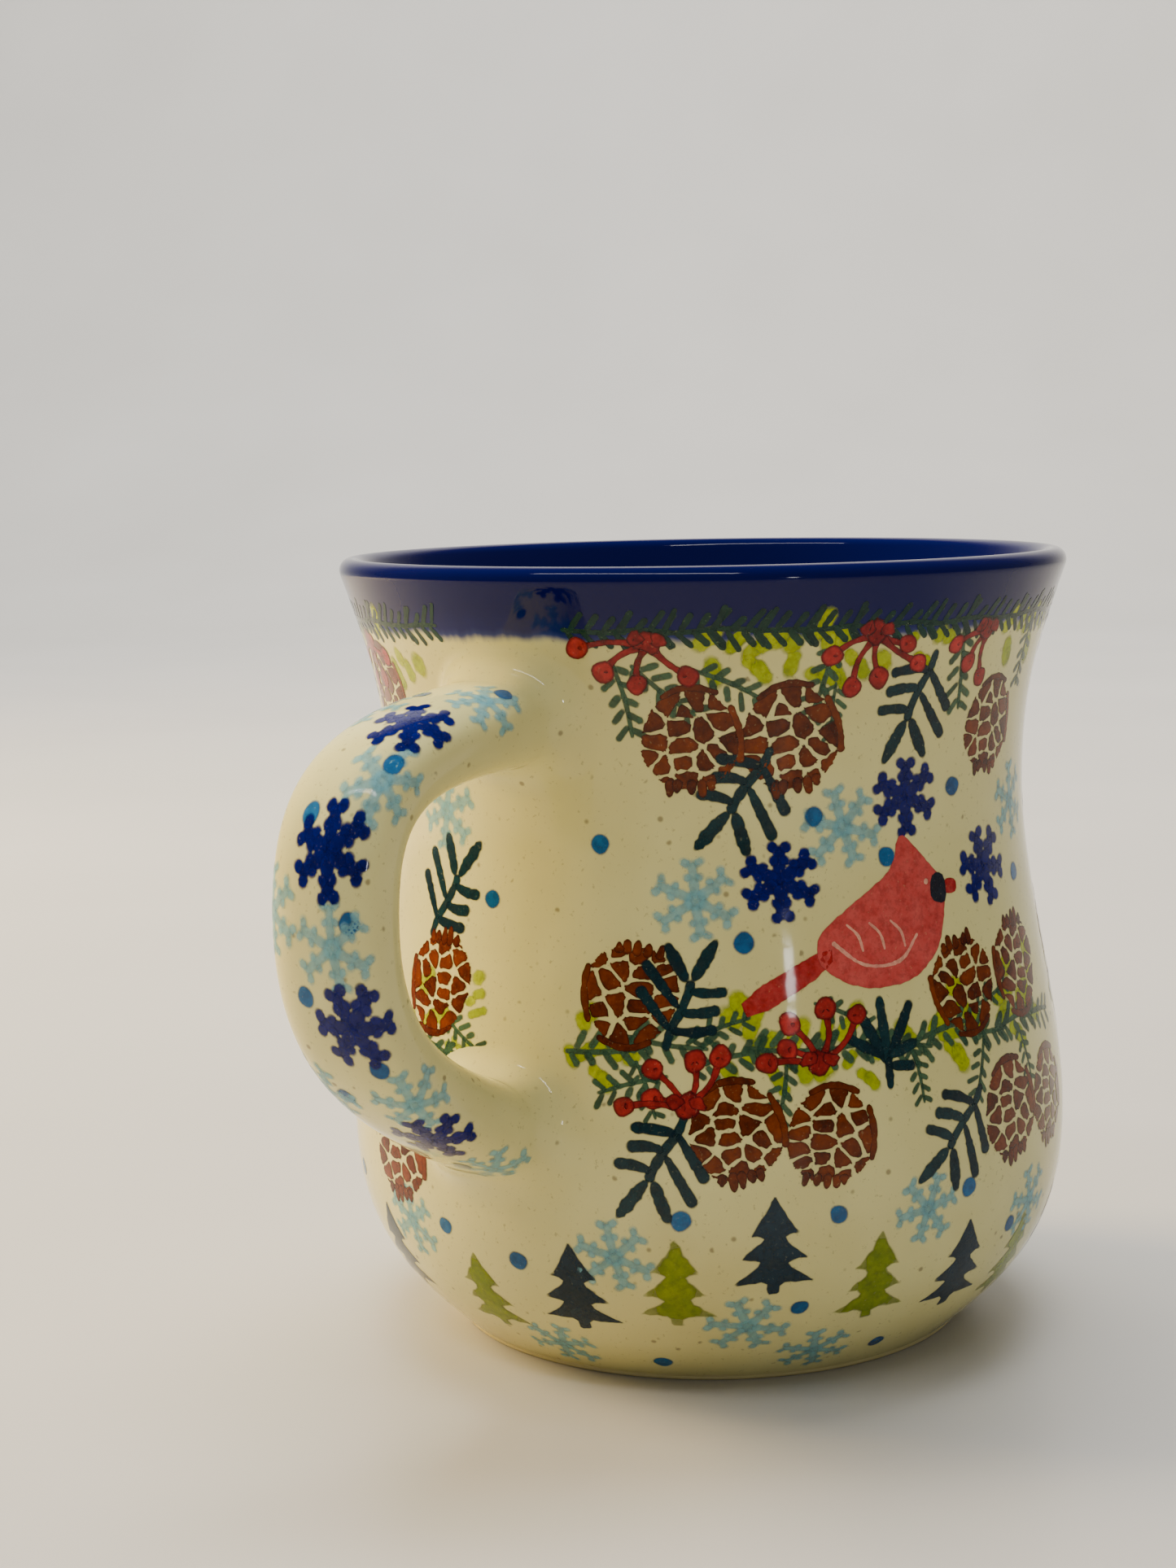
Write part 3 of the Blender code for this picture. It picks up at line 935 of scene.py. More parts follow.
def drawSprig(seed):
    # a fir sprig hanging down to the left: three needles on one side, two on the other, two leaves at its tip
    sketch = Sketch(seed)
    lean = sketch.chance.uniform
    sketch.stroke([(4, 6.5), (3, 4), (1.5, 2), (0, -0.5), (-0.5, -2)], 1.4, (0.8, 1.0, 1.0))
    for start, end in (((3, 4), (-3, 4.5)), ((1.5, 2), (-3.5, 2.5)), ((0, -0.5), (-5, 0))):
        end = (end[0] + lean(-0.3, 0.3), end[1] + lean(-0.3, 0.3))
        middle = ((start[0] + end[0]) / 2, (start[1] + end[1]) / 2 + lean(0.1, 0.35))
        sketch.stroke([start, middle, end], 1.5, (0.75, 1.0, 1.05))
    for start, end in (((3, 4), (6.5, -2)), ((1.5, 1.5), (5, -5))):
        sketch.stroke([start, (end[0] + lean(-0.2, 0.2), end[1] + lean(-0.3, 0.3))], 1.5, (0.6, 1.0, 1.1))
    sketch.stroke([(-0.5, -1.5), (-4.5, -6.5)], 1.9, (0.5, 1.0, 1.0, 0.5))
    sketch.stroke([(0, -1.5), (2, -7)], 1.8, (0.6, 1.0, 1.0, 0.7))
    return sketch


def drawFan(seed):
    # a fir tip that opens upwards
    sketch = Sketch(seed)
    needles = (
        ((0, -3), (-3.5, 4), 1.7), ((0, -3), (-0.5, 5.5), 1.6), ((0, -2.5), (4, 4.5), 1.7),
        ((-0.5, -2), (-5.5, 1), 1.5), ((0, -2), (4.5, -0.5), 1.7), ((0, -3), (4, -3.5), 1.6),
        ((0, -6), (0, -2), 1.4),
    )
    for start, end, width in needles:
        sketch.stroke([start, end], width, (0.6, 1.0, 0.8))
    return sketch


def drawFlake(seed, wide, barb, arms=5.0):
    # a six-armed snowflake with short barbs
    sketch = Sketch(seed)
    chance = sketch.chance
    sketch.blob(0, 0, wide * 2.0, wide * 2.0, 0, 0.05, 16, 0.5)
    for arm in range(6):
        a = math.radians(90 + 60 * arm + chance.uniform(-4, 4))
        reach = arms * chance.uniform(0.92, 1.04)
        along = (math.cos(a), math.sin(a))
        sketch.stroke([(0, 0), (along[0] * reach, along[1] * reach)], wide, (1.1, 1.0, 1.0), 0.5, 0.1)
        for share, length in ((0.45, 0.85), (0.78, 1.0)):
            root = (along[0] * reach * share, along[1] * reach * share)
            for side in (-1, 1):
                b = a + side * math.radians(58)
                tip = (root[0] + math.cos(b) * barb * length, root[1] + math.sin(b) * barb * length)
                sketch.stroke([root, tip], wide * 0.85, (1.0, 1.0, 0.9), 0.5, 0.1)
    return sketch


def drawTree(seed, ragged):
    # a little fir with three drooping tiers and a stub of trunk
    sketch = Sketch(seed)
    right = []
    for top, foot, half in ((5.5, 1, 3), (2, -2, 4), (-1, -5, 5)):
        right += [(half * 0.3, top - 1.5), (half * 0.7, foot + 1), (half, foot), (half * 0.6, foot)]
    right += [(0.8, -5), (0.8, -6.5)]
    uneven = sketch.chance.uniform
    left = [(-x * uneven(0.92, 1.06), y + uneven(-0.25, 0.25)) for x, y in right]
    sketch.shape([(0, 5.7)] + right + left[::-1], None, ragged, 1.1, 1)
    return sketch


bird = {
    # a plain crested songbird facing right, in millimetres about its middle
    "body": ((4, 12), (3, 7), (-2, 4), (-8, 0), (-8, -4), (-3, -7), (4, -7), (9, -4), (11, 1), (11, 5),
             (8, 8)),
    "tail": ((-6, -1), (-6, -4), (-17, -10), (-18, -7)),
    "wing": ((-6, -1), (-2, -4), (3, -4), (6, -1)),
    "feathers": (-4, -1, 2),
    "patch": (10, 4, 3, 4), "beak": (12, 4, 3, 2), "eye": (8, 5, 0.8, 0.8),
}


def drawBird():
    sketch = Sketch(31)
    sketch.shape(bird["tail"], 1.0, 0.06)
    sketch.shape(bird["body"], 0.0, 0.08, 1.1, 3)
    x, y, wide, tall = bird["beak"]
    sketch.blob(x, y, wide, tall, 0, 0.08, 14, 1.0)
    return sketch


def drawBirdMarks():
    # the folded wing's edge, a few feathers under it and the eye
    sketch = Sketch(32)
    sketch.stroke(bird["wing"], 0.5, (1.2, 0.8, 1.1, 0.8), 0.5, 0.18, 0.3)
    for x in bird["feathers"]:
        sketch.stroke([(x, 1), (x + 1.5, -0.5), (x + 2, -2.5)], 0.4, (0.8, 1.1, 0.8), 0.5, 0.18, 0.3)
    x, y, wide, tall = bird["eye"]
    sketch.blob(x, y, wide, tall, 0, 0.05, 10, 0.9)
    return sketch


def drawMask():
    # the dark patch around the beak
    sketch = Sketch(33)
    x, y, wide, tall = bird["patch"]
    sketch.blob(x, y, wide, tall, 0, 0.1, 14, 0.9)
    return sketch


def drawBerries(seed, spots, drop):
    # berries on bowed stems that run together in a hub at the middle
    sketch = Sketch(seed)
    chance = sketch.chance
    for x, y in spots:
        size = chance.uniform(2.5, 2.9)
        bow = (x * 0.55 + y * 0.10, y * 0.5 - x * 0.06)
        sketch.stroke([(0, 0), bow, (x, y)], 0.9, (1.9, 0.9, 0.9, 1.2), 0.1)
        turn = math.degrees(math.atan2(y, x))
        sketch.blob(x, y, size * 1.08, size, turn, 0.07, 16, chance.uniform(0.4, 1))
    sketch.blob(0, drop, 3.4, 3.2, 0, 0.2, 14, 0.2)
    sketch.blob(-1.4, drop + 0.5, 2.4, 1.9, 20, 0.2, 12, 0.1)
    sketch.blob(1.3, drop + 0.3, 2.2, 1.8, -20, 0.2, 12, 0.25)
    return sketch


def drawTwig(seed, length, needle=2.9, width=1.1):
    # a fir twig in soft green: needles both ways off a thin stem that runs to the right
    sketch = Sketch(seed)
    chance = sketch.chance
    stem = [(-length / 2, 0), (0, chance.uniform(-0.4, 0.4)), (length / 2, 0)]
    sketch.stroke(stem, width * 0.8, (0.8, 1.0, 0.7))
    x = -length / 2 + 0.7
    while x < length / 2 - 0.3:
        for side in (-1, 1):
            reach = needle * chance.uniform(0.75, 1.1)
            a = side * math.radians(chance.uniform(46, 62))
            tip = (x + math.cos(a) * reach, math.sin(a) * reach)
            sketch.stroke([(x, 0), tip], width * chance.uniform(0.85, 1.1), (0.8, 1.0, 0.9))
            x += chance.uniform(0.4, 0.7)
        x += chance.uniform(0.7, 1.1)
    return sketch


def drawWash(seed, length, rise):
    # loose wet touches of lime along a twig
    sketch = Sketch(seed)
    chance = sketch.chance
    x = -length / 2
    while x < length / 2:
        a = math.radians(chance.choice((-1, 1)) * chance.uniform(35, 75))
        reach = chance.uniform(3.2, 5.6)
        y = chance.uniform(-rise, rise)
        tip = (x + math.cos(a) * reach, y + math.sin(a) * reach)
        sketch.stroke([(x, y), tip], chance.uniform(1.9, 2.8), (0.8, 1.1, 0.9), None, 0.12)
        x += chance.uniform(1.5, 2.4)
    return sketch


def drawDot(seed, size=2.7):
    sketch = Sketch(seed)
    sketch.blob(0, 0, size, size * sketch.chance.uniform(0.92, 1.06), 0, 0.05, 18)
    return sketch


# ---- laying the painting on the pot

def spotMesh(name, spots):
    # one point for each touch: how far round and along, its spin in degrees, size and which drawing
    mesh = bpy.data.meshes.new(name)
    mesh.from_pydata([(0, 0, 0)] * len(spots), [], [])
    for i, label in enumerate(("turn", "along", "spin", "size", "pick")):
        numbers = [float(spot[i]) for spot in spots]
        mesh.attributes.new(label, "FLOAT", "POINT").data.foreach_set("value", numbers)
    return mesh


def named(board, label):
    return board.add("GeometryNodeInputNamedAttribute", {"data_type": "FLOAT"}, {"Name": label})


def laidFlat(board, wires):
    # the drawings, each on its spot, as one flat mesh in millimetres, with its length along the guide line
    sockets = {"Collection": wires["Drawings"], "Separate Children": True, "Reset Children": True}
    drawings = board.add("GeometryNodeCollectionInfo", None, sockets)
    spin = board.vector(0, 0, named(board, "spin") * (math.pi / 180))
    size = named(board, "size")
    sockets = {"Points": wires["Geometry"], "Instance": drawings, "Pick Instance": True,
               "Instance Index": named(board, "pick"), "Rotation": spin, "Scale": board.vector(size, size, 1)}
    placed = board.add("GeometryNodeInstanceOnPoints", None, sockets)
    flat = board.add("GeometryNodeRealizeInstances", None, {0: placed})
    x, y, up = board.parts(board.add("GeometryNodeInputPosition"))
    guide = board.add("GeometryNodeObjectInfo", None, {"Object": wires["Guide"]}, "Geometry")
    curve = board.add("GeometryNodeMeshToCurve", None, {"Mesh": guide})
    return flat, x, y, up + wires["Lift"], curve


def follow(board, curve, length):
    # the guide line's value, place and direction at a length along it
    sockets = {"Curves": curve, "Value": named(board, "swell"), "Length": length}
    value = board.add("GeometryNodeSampleCurve", {"mode": "LENGTH"}, sockets)
    return value, board.parts(board.also(value, 1)), board.parts(board.also(value, 2))


def setDown(board, flat, where, lean):
    # moves the flat drawings onto the pot and keeps the surface's own normal for them
    sockets = {"Geometry": flat, "Name": "lean", "Value": lean}
    kept = board.add("GeometryNodeStoreNamedAttribute", {"data_type": "FLOAT_VECTOR"}, sockets)
    scaled = board.add("ShaderNodeVectorMath", {"operation": "SCALE"}, {0: where, "Scale": mm})
    closeTree(board, board.add("GeometryNodeSetPosition", None, {"Geometry": kept, "Position": scaled}))


paintInputs = [("Drawings", "Collection"), ("Guide", "Object"), ("Section", "Object"), ("Lift", "Float"),
               ("Axis", "Float"), ("Material", "Material")]


def cupTree():
    tree, board, wires = newTree("paintedOnCup", paintInputs)
    flat, x, y, lift, curve = laidFlat(board, wires)
    _, (radius, _, height), (flare, _, climb) = follow(board, curve, named(board, "along") + y)
    turn = (named(board, "turn") + 180) * (math.pi / 180) + x / radius
    east, north = turn.math("COSINE"), turn.math("SINE")
    reach = radius + climb * lift
    where = board.vector(wires["Axis"] + reach * east, reach * north, height - flare * lift)
    setDown(board, flat, where, board.vector(climb * east, climb * north, flare * -1))
    return tree


def strapTree():
    tree, board, wires = newTree("paintedOnStrap", paintInputs)
    flat, x, y, lift, curve = laidFlat(board, wires)
    swell, (reach, _, height), (flare, _, climb) = follow(board, curve, named(board, "along") - y)
    rim = board.add("GeometryNodeObjectInfo", None, {"Object": wires["Section"]}, "Geometry")
    section = board.add("GeometryNodeMeshToCurve", None, {"Mesh": rim})
    x = x + named(board, "turn")
    side = x.math("SIGN")
    _, (across, _, through), (aside, _, dip) = follow(board, section, x.math("ABSOLUTE") / swell)
    across = (across * swell - dip * lift) * side
    out = through * swell + aside * lift
    where = board.vector(wires["Axis"] - reach + climb * out, across * -1, height + flare * out)
    lean = board.vector(climb * aside, dip * side, flare * aside)
    setDown(board, flat, where, lean)
    return tree


def guideLine(name, points, swell):
    made = bpy.data.objects.new(name, lineMesh(name, [(x, 0, z) for x, z in points], {"swell": swell}))
    show(made)
    return made


def painted(name, tree, guide, lift, sketches, spots, finish):
    # every touch of one ink as one thin piece
    drawings = bpy.data.collections.new(name + "Drawings")
    labels = [f"{name}{i:02d}" for i in range(len(sketches))]
    helpers = [bpy.data.objects.new(label, sketch.mesh(label)) for label, sketch in zip(labels, sketches)]
    for helper in helpers:
        drawings.objects.link(helper)
    bpy.context.scene.collection.children.link(drawings)
    line, section = guide
    values = {"Drawings": drawings, "Guide": line, "Section": section, "Lift": lift, "Axis": axisX / mm,
              "Material": finish}
    made = grown(name, spotMesh(name, spots), tree, values)
    for helper in helpers:
        bpy.data.objects.remove(helper)
    bpy.data.collections.remove(drawings)
    lean = np.empty(len(made.data.vertices) * 3, np.float32)
    made.data.attributes["lean"].data.foreach_get("vector", lean)
    made.data.shade_smooth()
    made.data.normals_split_custom_set_from_vertices(lean.reshape(-1, 3).tolist())
    for label in ("lean", "turn", "along", "spin", "size", "pick"):
        found = made.data.attributes.get(label)
        if found:
            made.data.attributes.remove(found)
    return made


# ---- inks

inks = {
    # two shades, how much darker the rim is, how soft the edge, how solid the paint
    "paleFlake": (stain(82, 130, 140), stain(104, 146, 148), 0.0, 1.0, 0.62),
    "lime": (stain(108, 122, 0), stain(140, 148, 2), 0.0, 0.8, 0.86),
    "twig": (stain(24, 48, 36), stain(50, 74, 52), 0.1, 0.7, 0.84),
    "needle": (stain(10, 32, 28), stain(20, 48, 34), 0.1, 0.3, 0.9),
    "cone": (stain(50, 13, 0), stain(92, 38, 3), 0.6, 0.2, 0.98),
    "sprig": (stain(5, 20, 28), stain(14, 38, 40), 0.25, 0.45, 0.95),
    "cobalt": (stain(2, 6, 64), stain(5, 10, 84), -0.25, 0.6, 0.97),
    "dot": (stain(12, 54, 92), stain(26, 78, 116), 0.1, 0.6, 0.92),
    "navy": (stain(9, 22, 33), stain(17, 34, 44), 0.1, 0.3, 0.95),
    "limeTree": (stain(74, 90, 0), stain(100, 110, 2), 0.15, 0.6, 0.94),
    "berry": (stain(78, 7, 7), stain(142, 34, 30), 0.95, 0.2, 0.93),
    "bird": (stain(152, 60, 55), stain(116, 14, 14), 0.12, 0.25, 0.97),
    "mask": (stain(16, 18, 25), stain(26, 28, 34), 0.1, 0.2, 0.97),
    "mark": (stain(176, 104, 94), stain(186, 140, 112), 0.0, 0.35, 0.85),
}


brush = {
    # how much of the shade comes from the touch itself and from the cloudy water in it
    "ownShade": 0.6, "cloudShade": 1.6, "shadeDrop": 0.6,
    # pooled paint: its darker tint and how strongly it shows at the rim, where wet, and where the glaze shows
    "pooled": (0.35, 0.3, 0.32), "rimShare": 1.4, "wetShare": 0.38, "grainShare": 0.14,
    "edgeWander": 0.25, "thinning": 0.3,
}


def buildInk(name, first, second, rim, soft, solid):
    # glass over stain: mottled where the brush was wetter, gathered at the rim of each touch
    made, board = shaderBoard(name + "Ink")
    place = board.place()
    pool = board.add("ShaderNodeAttribute", {"attribute_name": "pool"}, None, 2)
    tone = board.add("ShaderNodeAttribute", {"attribute_name": "tone"}, None, 2)
    cloud = board.noise(place, 520, 3, 0.65)
    grain = board.noise(place, 2400, 2, 0.6)
    shade = tone * brush["ownShade"] + cloud * brush["cloudShade"] - brush["shadeDrop"]
    shade = shade.math("MINIMUM", 1).math("MAXIMUM", 0)
    colour = board.mix(shade, first, second)
    edge = board.step(pool, 0.75, 0.1) if rim >= 0 else board.step(pool, 0.3, 1.0)
    dark = board.mix(1.0, colour, brush["pooled"], "MULTIPLY")
    colour = board.mix(edge * abs(rim) * brush["rimShare"], colour, dark)
    wet = board.step(board.noise(place, 1150, 3, 0.7), 0.42, 0.68)
    colour = board.mix(wet * brush["wetShare"], colour, dark)
    colour = board.mix(board.step(grain, 0.62, 0.8) * brush["grainShare"], colour, glaze["cream"])
    fade = board.step(pool + (cloud - 0.5) * brush["edgeWander"], 0.0, soft)
    thin = brush["thinning"]
    alpha = fade * (cloud * thin + (solid - thin / 2)).math("MINIMUM", 1)
    finishShader(board, colour, glaze["roughness"], glazeBump(board, place), alpha)
    return made


# ---- where everything is painted: turn in degrees, height in millimetres, spin, size, which drawing

layout = {
    "paleFlake": ((31.5, 62), (56, 70), (100, 70), (-16, 71), (-20, 19), (19, 19.5), (39, 10), (52, 5),
                  (67, 23.5), (5, 5), (92.5, 20), (-43, 64)),
    "cobalt": ((45, 64), (68, 73), (87, 63)),
    "dot": ((16, 68.5), (-4, 61), (51, 71.5), (79, 73.5), (64, 66), (39, 57), (99, 61), (29, 24.5),
            (52, 24.5), (75, 25), (87, 18), (-11, 20), (3, 17.5), (47, 12.5), (24, 3.5), (65.5, 4.5),
            (-54, 22), (-36, 68), (-40, 22)),
    "cone": ((31, 81, 0, 1), (47, 81, 8, 1.05), (89, 80.5, -3, 0.98), (-34.5, 85, 0, 1), (37, 35, 8, 1),
             (51, 34, -8, 0.98), (86, 33, 5, 0.98), (100, 32.5, -4, 0.98), (-22, 28, 0, 1),
             (21.5, 51, 172, 1), (78, 49.5, 188, 0.98), (94, 50, 176, 0.98), (-14.5, 50, 180, 1)),
    "sprig": ((38, 74, -4, 1, 0), (68, 84, 8, 1, 1), (30.5, 51, 188, 0.95, 1), (25, 31, 0, 1, 0),
              (61, 44.5, 0, 1, 2), (72, 32, -14, 1, 1), (-13, 61.5, 180, 1, 0), (-49, 76, -6, 1, 1),
              (-42, 51, 186, 0.95, 0)),
    "navy": ((-29, 14), (12, 15), (42.5, 21.5), (76, 15), (108, 14)),
    "limeTree": ((-6, 12), (28, 16.5), (59, 16), (92, 13)),
    "twig": ((18, 44.5, 5, 1), (27, 45.5, -8, 1), (36, 43.5, 12, 1), (45, 44.5, -4, 1), (54, 44, 6, 1),
             (63, 43.5, -6, 1), (72, 44.5, 8, 1), (81, 43.5, -6, 1), (90, 43.5, 5, 1), (99, 43, -4, 1),
             (22, 40.5, 195, 0.9), (24, 40, -70, 0.75), (44, 40, -100, 0.8), (66, 40, -80, 0.75),
             (79, 39.5, -110, 0.8), (92, 39, -75, 0.75), (35, 47, 20, 0.8), (54, 48, -25, 0.8),
             (84, 47.5, 15, 0.8), (20.5, 86, -78, 1), (27, 87, -40, 0.95), (37, 87.5, -25, 0.9),
             (51.5, 87.5, -105, 0.95), (54, 84, -90, 0.7), (78, 88, -80, 1), (98, 89, -88, 0.9),
             (-24, 42, 8, 1), (-33, 41, -5, 1), (-14, 42, -12, 0.9), (-17, 38, -60, 0.8),
             (-7, 44, -28, 0.8), (-9, 41, -60, 0.6), (-42, 43, 4, 1), (-50, 42.5, -6, 1),
             (-45, 39, -100, 0.8), (-48, 88, -80, 0.9)),
    "lime": ((36, 90.5, -6, 1), (41, 91.5, 0, 1), (50, 90, 30, 1), (55, 91.5, 0, 1), (69, 91, 8, 0.9),
             (92, 91, 0, 1), (101, 91, 0, 1), (14.5, 45, 70, 0.8), (17, 43, 0, 0.9), (38, 45, 80, 1),
             (44, 44.5, 0, 1), (50, 44, 10, 1), (57, 42, 5, 0.8), (70, 46, 60, 0.9), (74, 44, -5, 1),
             (84, 46.5, 60, 1), (90, 44, 5, 1), (97, 45, 50, 1), (-18, 46, 70, 0.9), (-8, 48, 80, 0.8),
             (-10, 44, 0, 0.6), (-24, 43, 0, 1), (-33, 42, 0, 0.9), (-42, 44, 0, 1), (-50, 43, 0, 0.9),
             (-26, 91, 0, 1), (-46, 91, 0, 0.9)),
    "bird": ((61, 57.5, 0, 1, 0),),
}
needleTurns = (*range(-44, -15, 7), *range(17, 109, 7))
layout["needle"] = [(turn, 94, (0, 4, -3)[i % 3]) for i, turn in enumerate(needleTurns)]
berrySpots = (
    (25, 92.5, ((-8.5, -0.5), (-5.5, -3.5), (-1.5, -5), (4.5, -4))),
    (60, 93, ((-2.5, -6.5), (1, -5.5), (-5.5, -2.5), (4.5, -1.5), (6.5, -4))),
    (83, 92.5, ((-5.5, -1.5), (-2.5, -4), (0.5, -6))),
    (30, 38, ((-4, 4.5), (1, 5.5), (4, 6), (-4, 1), (-7.5, 0))),
    (50, 42.5, ((-3.5, 5), (1, 6.5), (5, 5.5), (-4, 2), (-6.5, 0.5))),
    (-38, 91, ((-5, -2), (-2, -5), (2.5, -4.5), (5.5, -1.5))),
)
strapSpots = {
    "cobalt": ((3.5, 27), (2.5, 42), (4.5, 59), (4.5, 77)),
    "paleFlake": ((5.5, 17), (6, 35), (3.5, 51), (6.5, 70), (5, 88), (-5.5, 24), (-6, 48), (-5, 68)),
    "dot": ((5.5, 13.5), (6, 33), (-1, 39), (5.5, 48.5), (-1, 56), (5.5, 64), (-1.5, 68), (2, 86), (-2, 19)),
}


def spread(spots, chance, turnRange=0, sizeRange=0.0, drawings=1):
    # fills in each spot and carries the pattern on to the far side, leaving the handle clear
    found = []
    for spot in spots:
        turn, height, spin, size = (*spot, 0, 1)[:4] if len(spot) < 4 else spot[:4]
        if len(spot) == 2:
            spin = chance.uniform(-turnRange, turnRange)
        size = size * (1 + chance.uniform(-sizeRange, sizeRange))
        pick = spot[4] if len(spot) > 4 else chance.randrange(drawings)
        shifts = (0, 100, 200) if turn >= 13 else (0,)
        for shift in shifts:
            found.append((turn + shift, riseAt(height), spin, size, pick))
    return found


def paintPot():
    # all the painting, from the first wash to the last touch
    chance = random.Random(5)
    onCup = cupTree()
    onStrap = strapTree()
    wall = guideLine("wallGuide", wallLine[::-1], [1.0] * len(wallLine))
    line, swell, _ = strapLine()
    path = guideLine("strapGuide", line, swell.tolist())
    through, across = sectionAt(np.linspace(0, 0.95 * math.pi, 400))
    section = guideLine("sectionGuide", np.column_stack([across, through]), [1.0] * len(across))
    onWall = (wall, section)
    onPath = (path, section)
    finishes = {name: buildInk(name, *values) for name, values in inks.items()}
    pale = [drawFlake(seed, 1.6, 1.9, 5.1) for seed in (1, 2)]
    cobalt = [drawFlake(seed, 1.95, 1.9, 5.0) for seed in (3, 4)]
    dots = [drawDot(seed) for seed in (5, 6, 7)]
    work = [
        ("paleFlakes", "paleFlake", 0.020, pale, spread(layout["paleFlake"], chance, 25, 0.06, 2)),
        ("limeWash", "lime", 0.024, [drawWash(seed, 8, 1.2) for seed in (11, 12, 13)],
         spread(layout["lime"], chance, 0, 0.1, 3)),
        ("softTwigs", "twig", 0.028, [drawTwig(seed, 10.5) for seed in (21, 22, 23)],
         spread(layout["twig"], chance, 0, 0.05, 3)),
        ("bandNeedles", "needle", 0.032, [drawTwig(seed, 8, 3.2, 0.9) for seed in (24, 25, 26)],
         spread([(*spot, 1) for spot in layout["needle"]], chance, 0, 0.08, 3)),
        ("blueDots", "dot", 0.028, dots, spread(layout["dot"], chance, 90, 0.08, 3)),
        ("cobaltFlakes", "cobalt", 0.030, cobalt, spread(layout["cobalt"], chance, 20, 0.04, 2)),
        ("limeTrees", "limeTree", 0.030, [drawTree(seed, 0.12) for seed in (41, 42)],
         spread([(*spot, 0, 1.1) for spot in layout["limeTree"]], chance, 0, 0.04, 2)),
        ("navyTrees", "navy", 0.030, [drawTree(seed, 0.06) for seed in (43, 44)],
         spread([(*spot, 0, 1.1) for spot in layout["navy"]], chance, 0, 0.04, 2)),
        ("darkSprigs", "sprig", 0.042, [drawSprig(51), drawSprig(52), drawFan(53)],
         spread(layout["sprig"], chance)),
        ("coneScales", "cone", 0.036, [drawCone(seed) for seed in (61, 62, 63)],
         spread(layout["cone"], chance, 0, 0.03, 3)),
        ("birdBody", "bird", 0.040, [drawBird()], spread(layout["bird"], chance)),
        ("birdMask", "mask", 0.046, [drawMask()], spread(layout["bird"], chance)),
        ("birdMarks", "mark", 0.052, [drawBirdMarks()], spread(layout["bird"], chance)),
        ("berries", "berry", 0.056, [drawBerries(70 + i, spot[2], 0.2) for i, spot in enumerate(berrySpots)],
         spread([(turn, height, 0, 1, i) for i, (turn, height, _) in enumerate(berrySpots)], chance)),
    ]
    pieces = [painted(name, onCup, onWall, lift, sketches, spots, finishes[ink])
              for name, ink, lift, sketches, spots in work]
    print("cup is painted")
    strapWork = (
        ("strapPale", "paleFlake", 0.03, pale),
        ("strapCobalt", "cobalt", 0.04, cobalt),
        ("strapDots", "dot", 0.035, dots),
    )
    for name, ink, lift, sketches in strapWork:
        spots = [(x, run, chance.uniform(-30, 30), 0.96, chance.randrange(len(sketches)))
                 for x, run in strapSpots[ink]]
        pieces.append(painted(name, onStrap, onPath, lift, sketches, spots, finishes[ink]))
    print("handle is painted")
    for guide in (wall, path, section):
        bpy.data.objects.remove(guide)
    for piece in pieces:
        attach(piece, "root")


# ---- room, light and camera

room = {
    "floorColour": paint(200, 197, 192), "floorShade": paint(189, 186, 181),
    "reach": 3.0, "wallBack": 1.3, "coveRound": 0.7, "wallTop": 2.6,
    "distance": 0.345, "cameraHeight": 0.1148, "cameraTurn": 33.0, "pan": 2.56, "tilt": 7.3, "roll": -1.04,
    "lens": 59.7, "sky": 0.17,
}


def buildRoom():
    # a pale floor that sweeps up into a plain backdrop behind the cup
    size, back, bend = room["reach"], room["wallBack"], room["coveRound"]
    turns = np.linspace(0, math.pi / 2, 17)
    outline = [(-size, 0)] + [(back + bend * math.sin(t), bend * (1 - math.cos(t))) for t in turns]
    outline.append((back + bend, room["wallTop"]))
    angle = math.radians(room["cameraTurn"])
    away = np.array([math.cos(angle), math.sin(angle), 0])
    side = np.array([math.sin(angle), -math.cos(angle), 0])
    points = []
    for run, rise in outline:
        for across in (-size, size):
            points.append(tuple(away * run + side * across + (0, 0, rise)))
    mesh = bpy.data.meshes.new("floor")
    mesh.from_pydata(points, [], [(i, i + 1, i + 3, i + 2) for i in range(0, len(points) - 2, 2)])
    mesh.shade_smooth()
    floor = bpy.data.objects.new("floor", mesh)
    bpy.context.scene.collection.objects.link(floor)
    made, board = shaderBoard("paleFloor")
    place = board.place()
    tone = board.mix(board.noise(place, 9, 2), room["floorColour"], room["floorShade"])
    finishShader(board, tone, 0.35)
    mesh.materials.append(made)
    world = bpy.data.worlds.new("studio")
    bpy.context.scene.world = world
    world.use_nodes = True
    world.node_tree.nodes["Background"].inputs[0].default_value = (0.93, 0.95, 1.0, 1)
    world.node_tree.nodes["Background"].inputs[1].default_value = room["sky"]


def lamp(name, turn, height, distance, size, power, colour, tall=None, mirrored=True, aim=(axisX, 0, 0.05)):
    # a soft box; turn is from the handle, as on the cup; one that is not mirrored leaves no highlight
    data = bpy.data.lights.new(name, "AREA")
    data.shape = "RECTANGLE"
    data.size = size
    data.size_y = tall or size
    data.energy = power
    data.color = colour
    angle = math.radians(180 + turn)
    made = bpy.data.objects.new(name, data)
    made.location = (axisX + distance * math.cos(angle), distance * math.sin(angle), height)
    made.rotation_euler = (Vector(aim) - made.location).to_track_quat("-Z", "Y").to_euler()
    made.visible_glossy = mirrored
    show(made)


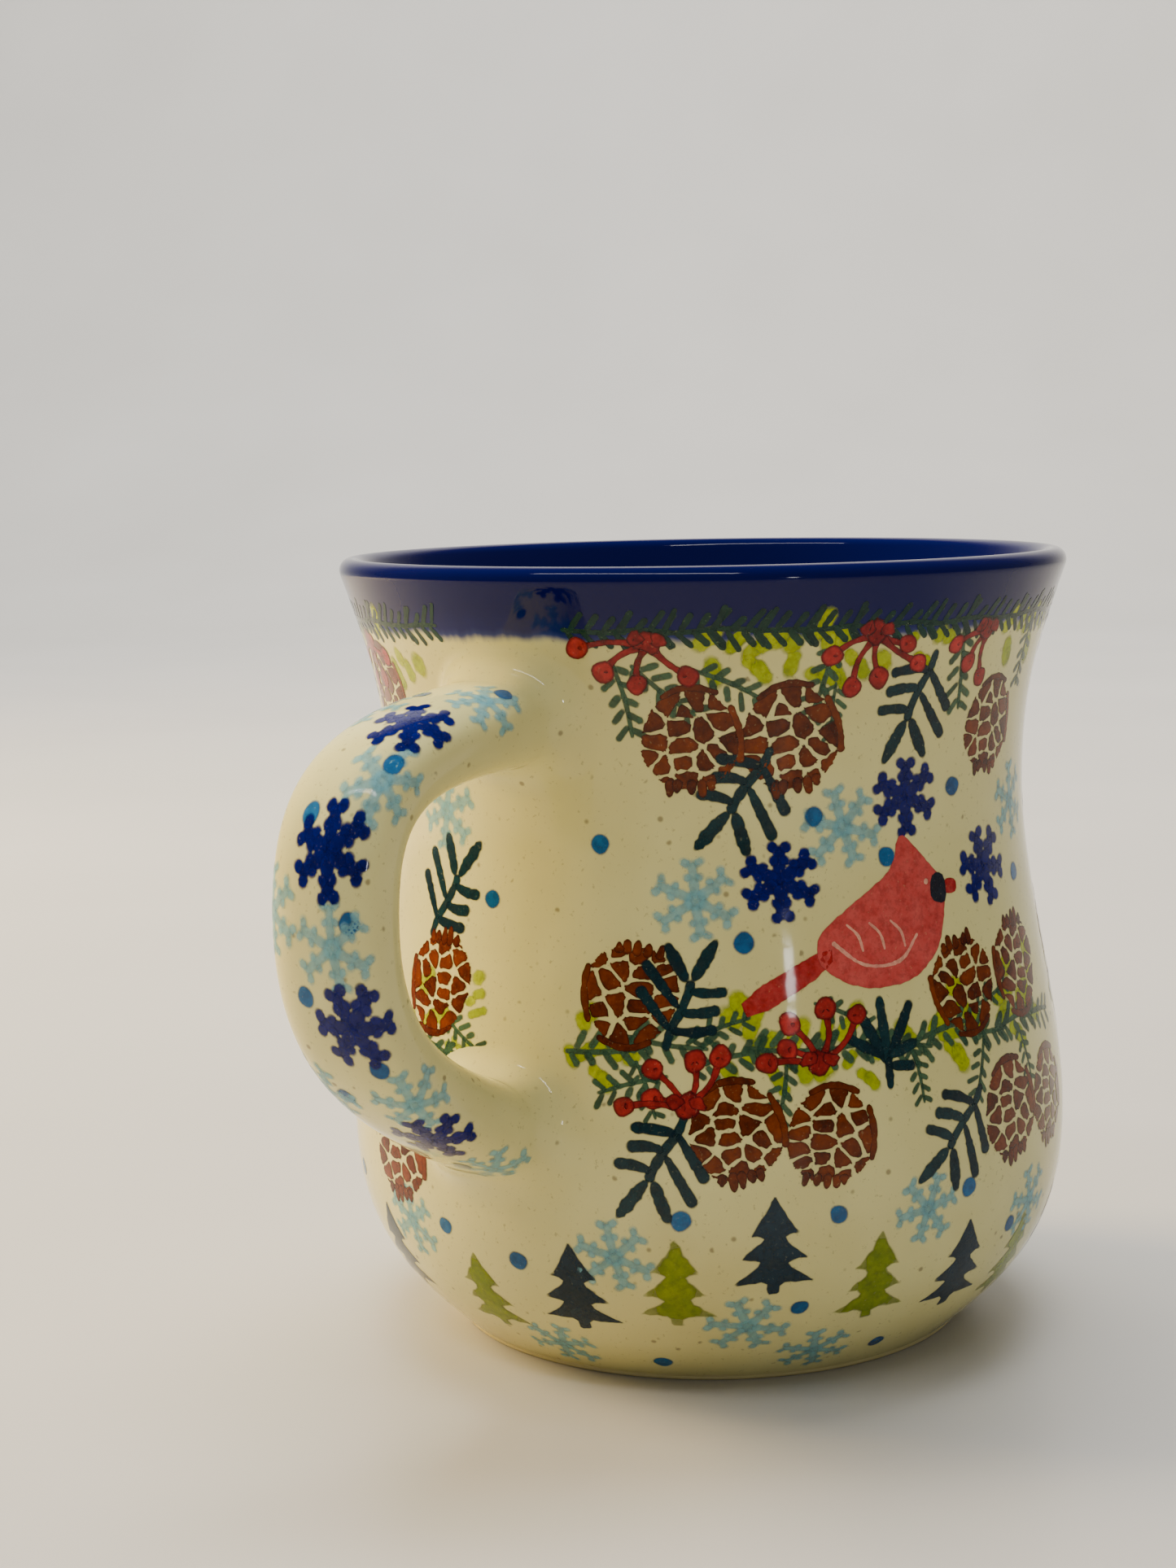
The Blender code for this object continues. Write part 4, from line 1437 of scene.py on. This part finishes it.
def buildLights():
    # name, turn, height, distance, width, power, colour, height of the box, mirrored
    lamp("window", 100, 0.75, 1.0, 0.7, 0.8, (0.98, 0.99, 1.0), 0.9, False)
    lamp("overhead", -30, 1.3, 0.35, 0.7, 1.5, (0.95, 0.99, 1.0), None, False)
    lamp("lampGlow", -78, 0.40, 0.8, 0.35, 18, (1.0, 0.75, 0.38), 0.5, False)
    lamp("paneStrip", 60, 0.19, 0.9, 0.045, 0.26, (1.0, 0.99, 0.97), 0.06)
    lamp("paneTop", 5, 1.0, 0.55, 1.0, 3.8, (1.0, 0.99, 0.97), 0.06)
    back = math.radians(room["cameraTurn"])
    target = (1.9 * math.cos(back), 1.9 * math.sin(back), 0.5)
    lamp("backdropWash", room["cameraTurn"] + 180, 1.9, 0.6, 1.2, 82, (1.0, 0.99, 0.96), None, False, target)


def buildCamera():
    data = bpy.data.cameras.new("camera")
    data.sensor_width = 36
    data.lens = room["lens"]
    data.clip_start = 0.01
    made = bpy.data.objects.new("camera", data)
    angle = math.radians(180 + room["cameraTurn"])
    out = Vector((math.cos(angle), math.sin(angle), 0)) * room["distance"]
    made.location = (axisX + out.x, out.y, room["cameraHeight"])
    tilt = math.radians(90 - room["tilt"])
    yaw = math.radians(room["cameraTurn"] + room["pan"] - 90)
    roll = Quaternion((0, 0, 1), math.radians(room["roll"]))
    made.rotation_mode = "QUATERNION"
    made.rotation_quaternion = Euler((tilt, 0, yaw)).to_quaternion() @ roll
    show(made)
    bpy.context.scene.camera = made


def main():
    buildCamera()
    buildRoom()
    buildLights()
    print("camera, floor and lamps are up")

    wheel = turnTree()
    cupPiece = buildCup(wheel, buildGlaze("glazedStoneware", True))
    lining = buildLining(wheel, buildGlaze("cobaltGlaze", False))
    print("cup and lining are turned")

    handleGlaze = buildHandleGlaze()
    points, normals, depths = strapGenerators()
    strapPiece = buildStrap(points, normals, depths, handleGlaze)
    upperSlip = buildSlip("upperSlip", points, normals, depths, "top", strap["filletTop"], handleGlaze)
    lowerSlip = buildSlip("lowerSlip", points, normals, depths, "base", strap["filletBase"], handleGlaze)
    print("handle is on")

    for piece, node, finish in (
        (cupPiece, "cup_body", "stoneware"),
        (lining, "cobalt_glaze", "cobalt_glaze"),
        (strapPiece, "handle", "stoneware"),
        (upperSlip, "upper_slip_joint", "slip"),
        (lowerSlip, "lower_slip_joint", "slip"),
    ):
        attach(piece, "root")
        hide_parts(node)
    paintPot()


main()
